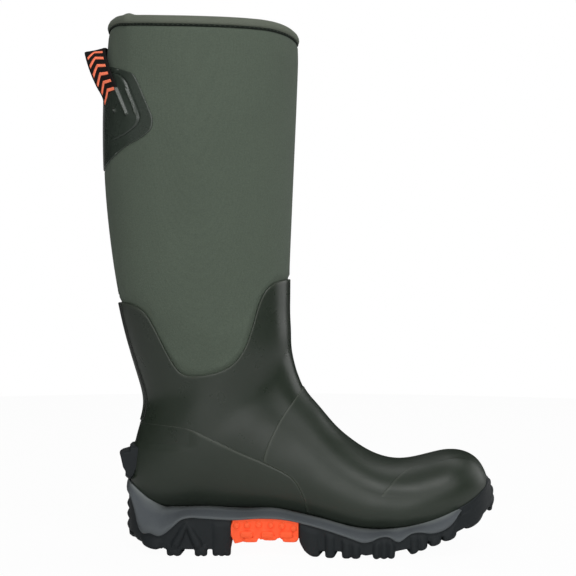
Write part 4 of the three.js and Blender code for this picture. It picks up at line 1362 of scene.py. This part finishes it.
finish_piece(footbed, "footbed", "foot", replaces=("footbed",))

# Hidden pieces that keep their CAD meshes.
HIDDEN = {"shank": "steel", "insole_board": "board", "toe_puff": "stiffener", "heel_counter": "stiffener"}
for node, look in HIDDEN.items():
    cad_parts[node].data.materials.clear()
    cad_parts[node].data.materials.append(LOOKS[look])


# ---- Studio ----
def place_object(name, data, place, target):
    """Puts a light or a camera at a place, looking at its target."""
    obj = bpy.data.objects.new(name, data)
    bpy.context.scene.collection.objects.link(obj)
    obj.location = place
    obj.rotation_euler = (Vector(target) - Vector(place)).to_track_quat("-Z", "Y").to_euler()
    return obj


def area_light(name, place, target, size, power):
    data = bpy.data.lights.new(name, "AREA")
    data.shape = "RECTANGLE"
    data.size, data.size_y = size
    data.energy = power
    place_object(name, data, place, target)


# A white floor that the camera sees as nearly plain white.
bpy.ops.mesh.primitive_circle_add(vertices=96, radius=1.6, fill_type="NGON")
floor = bpy.context.object
floor.name = "floor"
paper = Shader("floor_paper", (250, 250, 250), 0.9, specular=0.1)
paper.tint(paper.noise(3), 0.995, 1.005)
floor.data.materials.append(paper.done())
white = paper.add("Emission", {"Strength": 1.0}).outputs[0]
camera_ray = paper.add("LightPath").outputs["Is Camera Ray"]
share = paper.add("Math", {0: camera_ray, 1: 0.97}, operation="MULTIPLY").outputs[0]
seen_floor = paper.add("MixShader", {0: share, 1: paper.bsdf.outputs[0], 2: white})
fill(paper.tree, paper.output, {0: seen_floor.outputs[0]})

# A world that is white to the camera and nearly dark to the boot.
world = bpy.data.worlds.new("studio")
bpy.context.scene.world = world
world.use_nodes = True
nodes = world.node_tree.nodes
seen = nodes.new("ShaderNodeBackground")
fill(world.node_tree, seen, {0: (1, 1, 1, 1), 1: 1.0})
fill(world.node_tree, nodes["Background"], {0: (0.9, 0.95, 1, 1), 1: 0.01})
mix = nodes.new("ShaderNodeMixShader")
camera_ray = nodes.new("ShaderNodeLightPath").outputs["Is Camera Ray"]
fill(world.node_tree, mix, {0: camera_ray, 1: nodes["Background"].outputs[0], 2: seen.outputs[0]})
fill(world.node_tree, nodes["World Output"], {0: mix.outputs[0]})

area_light("key", (0.95, -1.25, 1.15), (0.07, 0, 0.2), (0.9, 0.9), 4.0)
area_light("fill", (-1.1, -0.9, 0.9), (0, 0, 0.2), (1.2, 1.2), 1.2)
area_light("front", (0, -1.9, 0.6), (0.05, 0, 0.2), (1.2, 1.2), 9.8)
area_light("top_front", (0.1, -0.9, 1.6), (0.1, 0, 0.1), (1.3, 0.5), 9.4)
area_light("rim_right", (1.35, 0.52, 0.55), (0.05, 0, 0.25), (0.9, 0.95), 3.6)
area_light("back", (-0.4, 1.3, 0.9), (0, 0, 0.2), (1.2, 1.2), 0.9)
area_light("top_back", (0.5, 0.6, 1.5), (0.15, 0, 0.1), (1.2, 0.5), 3.2)

# The camera looks straight at the boot's outer side. PICTURE_WIDTH is what it sees at the boot's middle.
CAMERA_AWAY = 1.1
PICTURE_WIDTH = 0.486
AIM = Vector((0.0739, 0, 0.2178))
camera_data = bpy.data.cameras.new("camera")
camera_data.sensor_width = 36
camera_data.lens = camera_data.sensor_width * CAMERA_AWAY / PICTURE_WIDTH
camera = place_object("camera", camera_data, AIM + Vector((0, -CAMERA_AWAY, 0)), AIM)
bpy.context.scene.camera = camera
bpy.context.scene.view_settings.view_transform = "Standard"
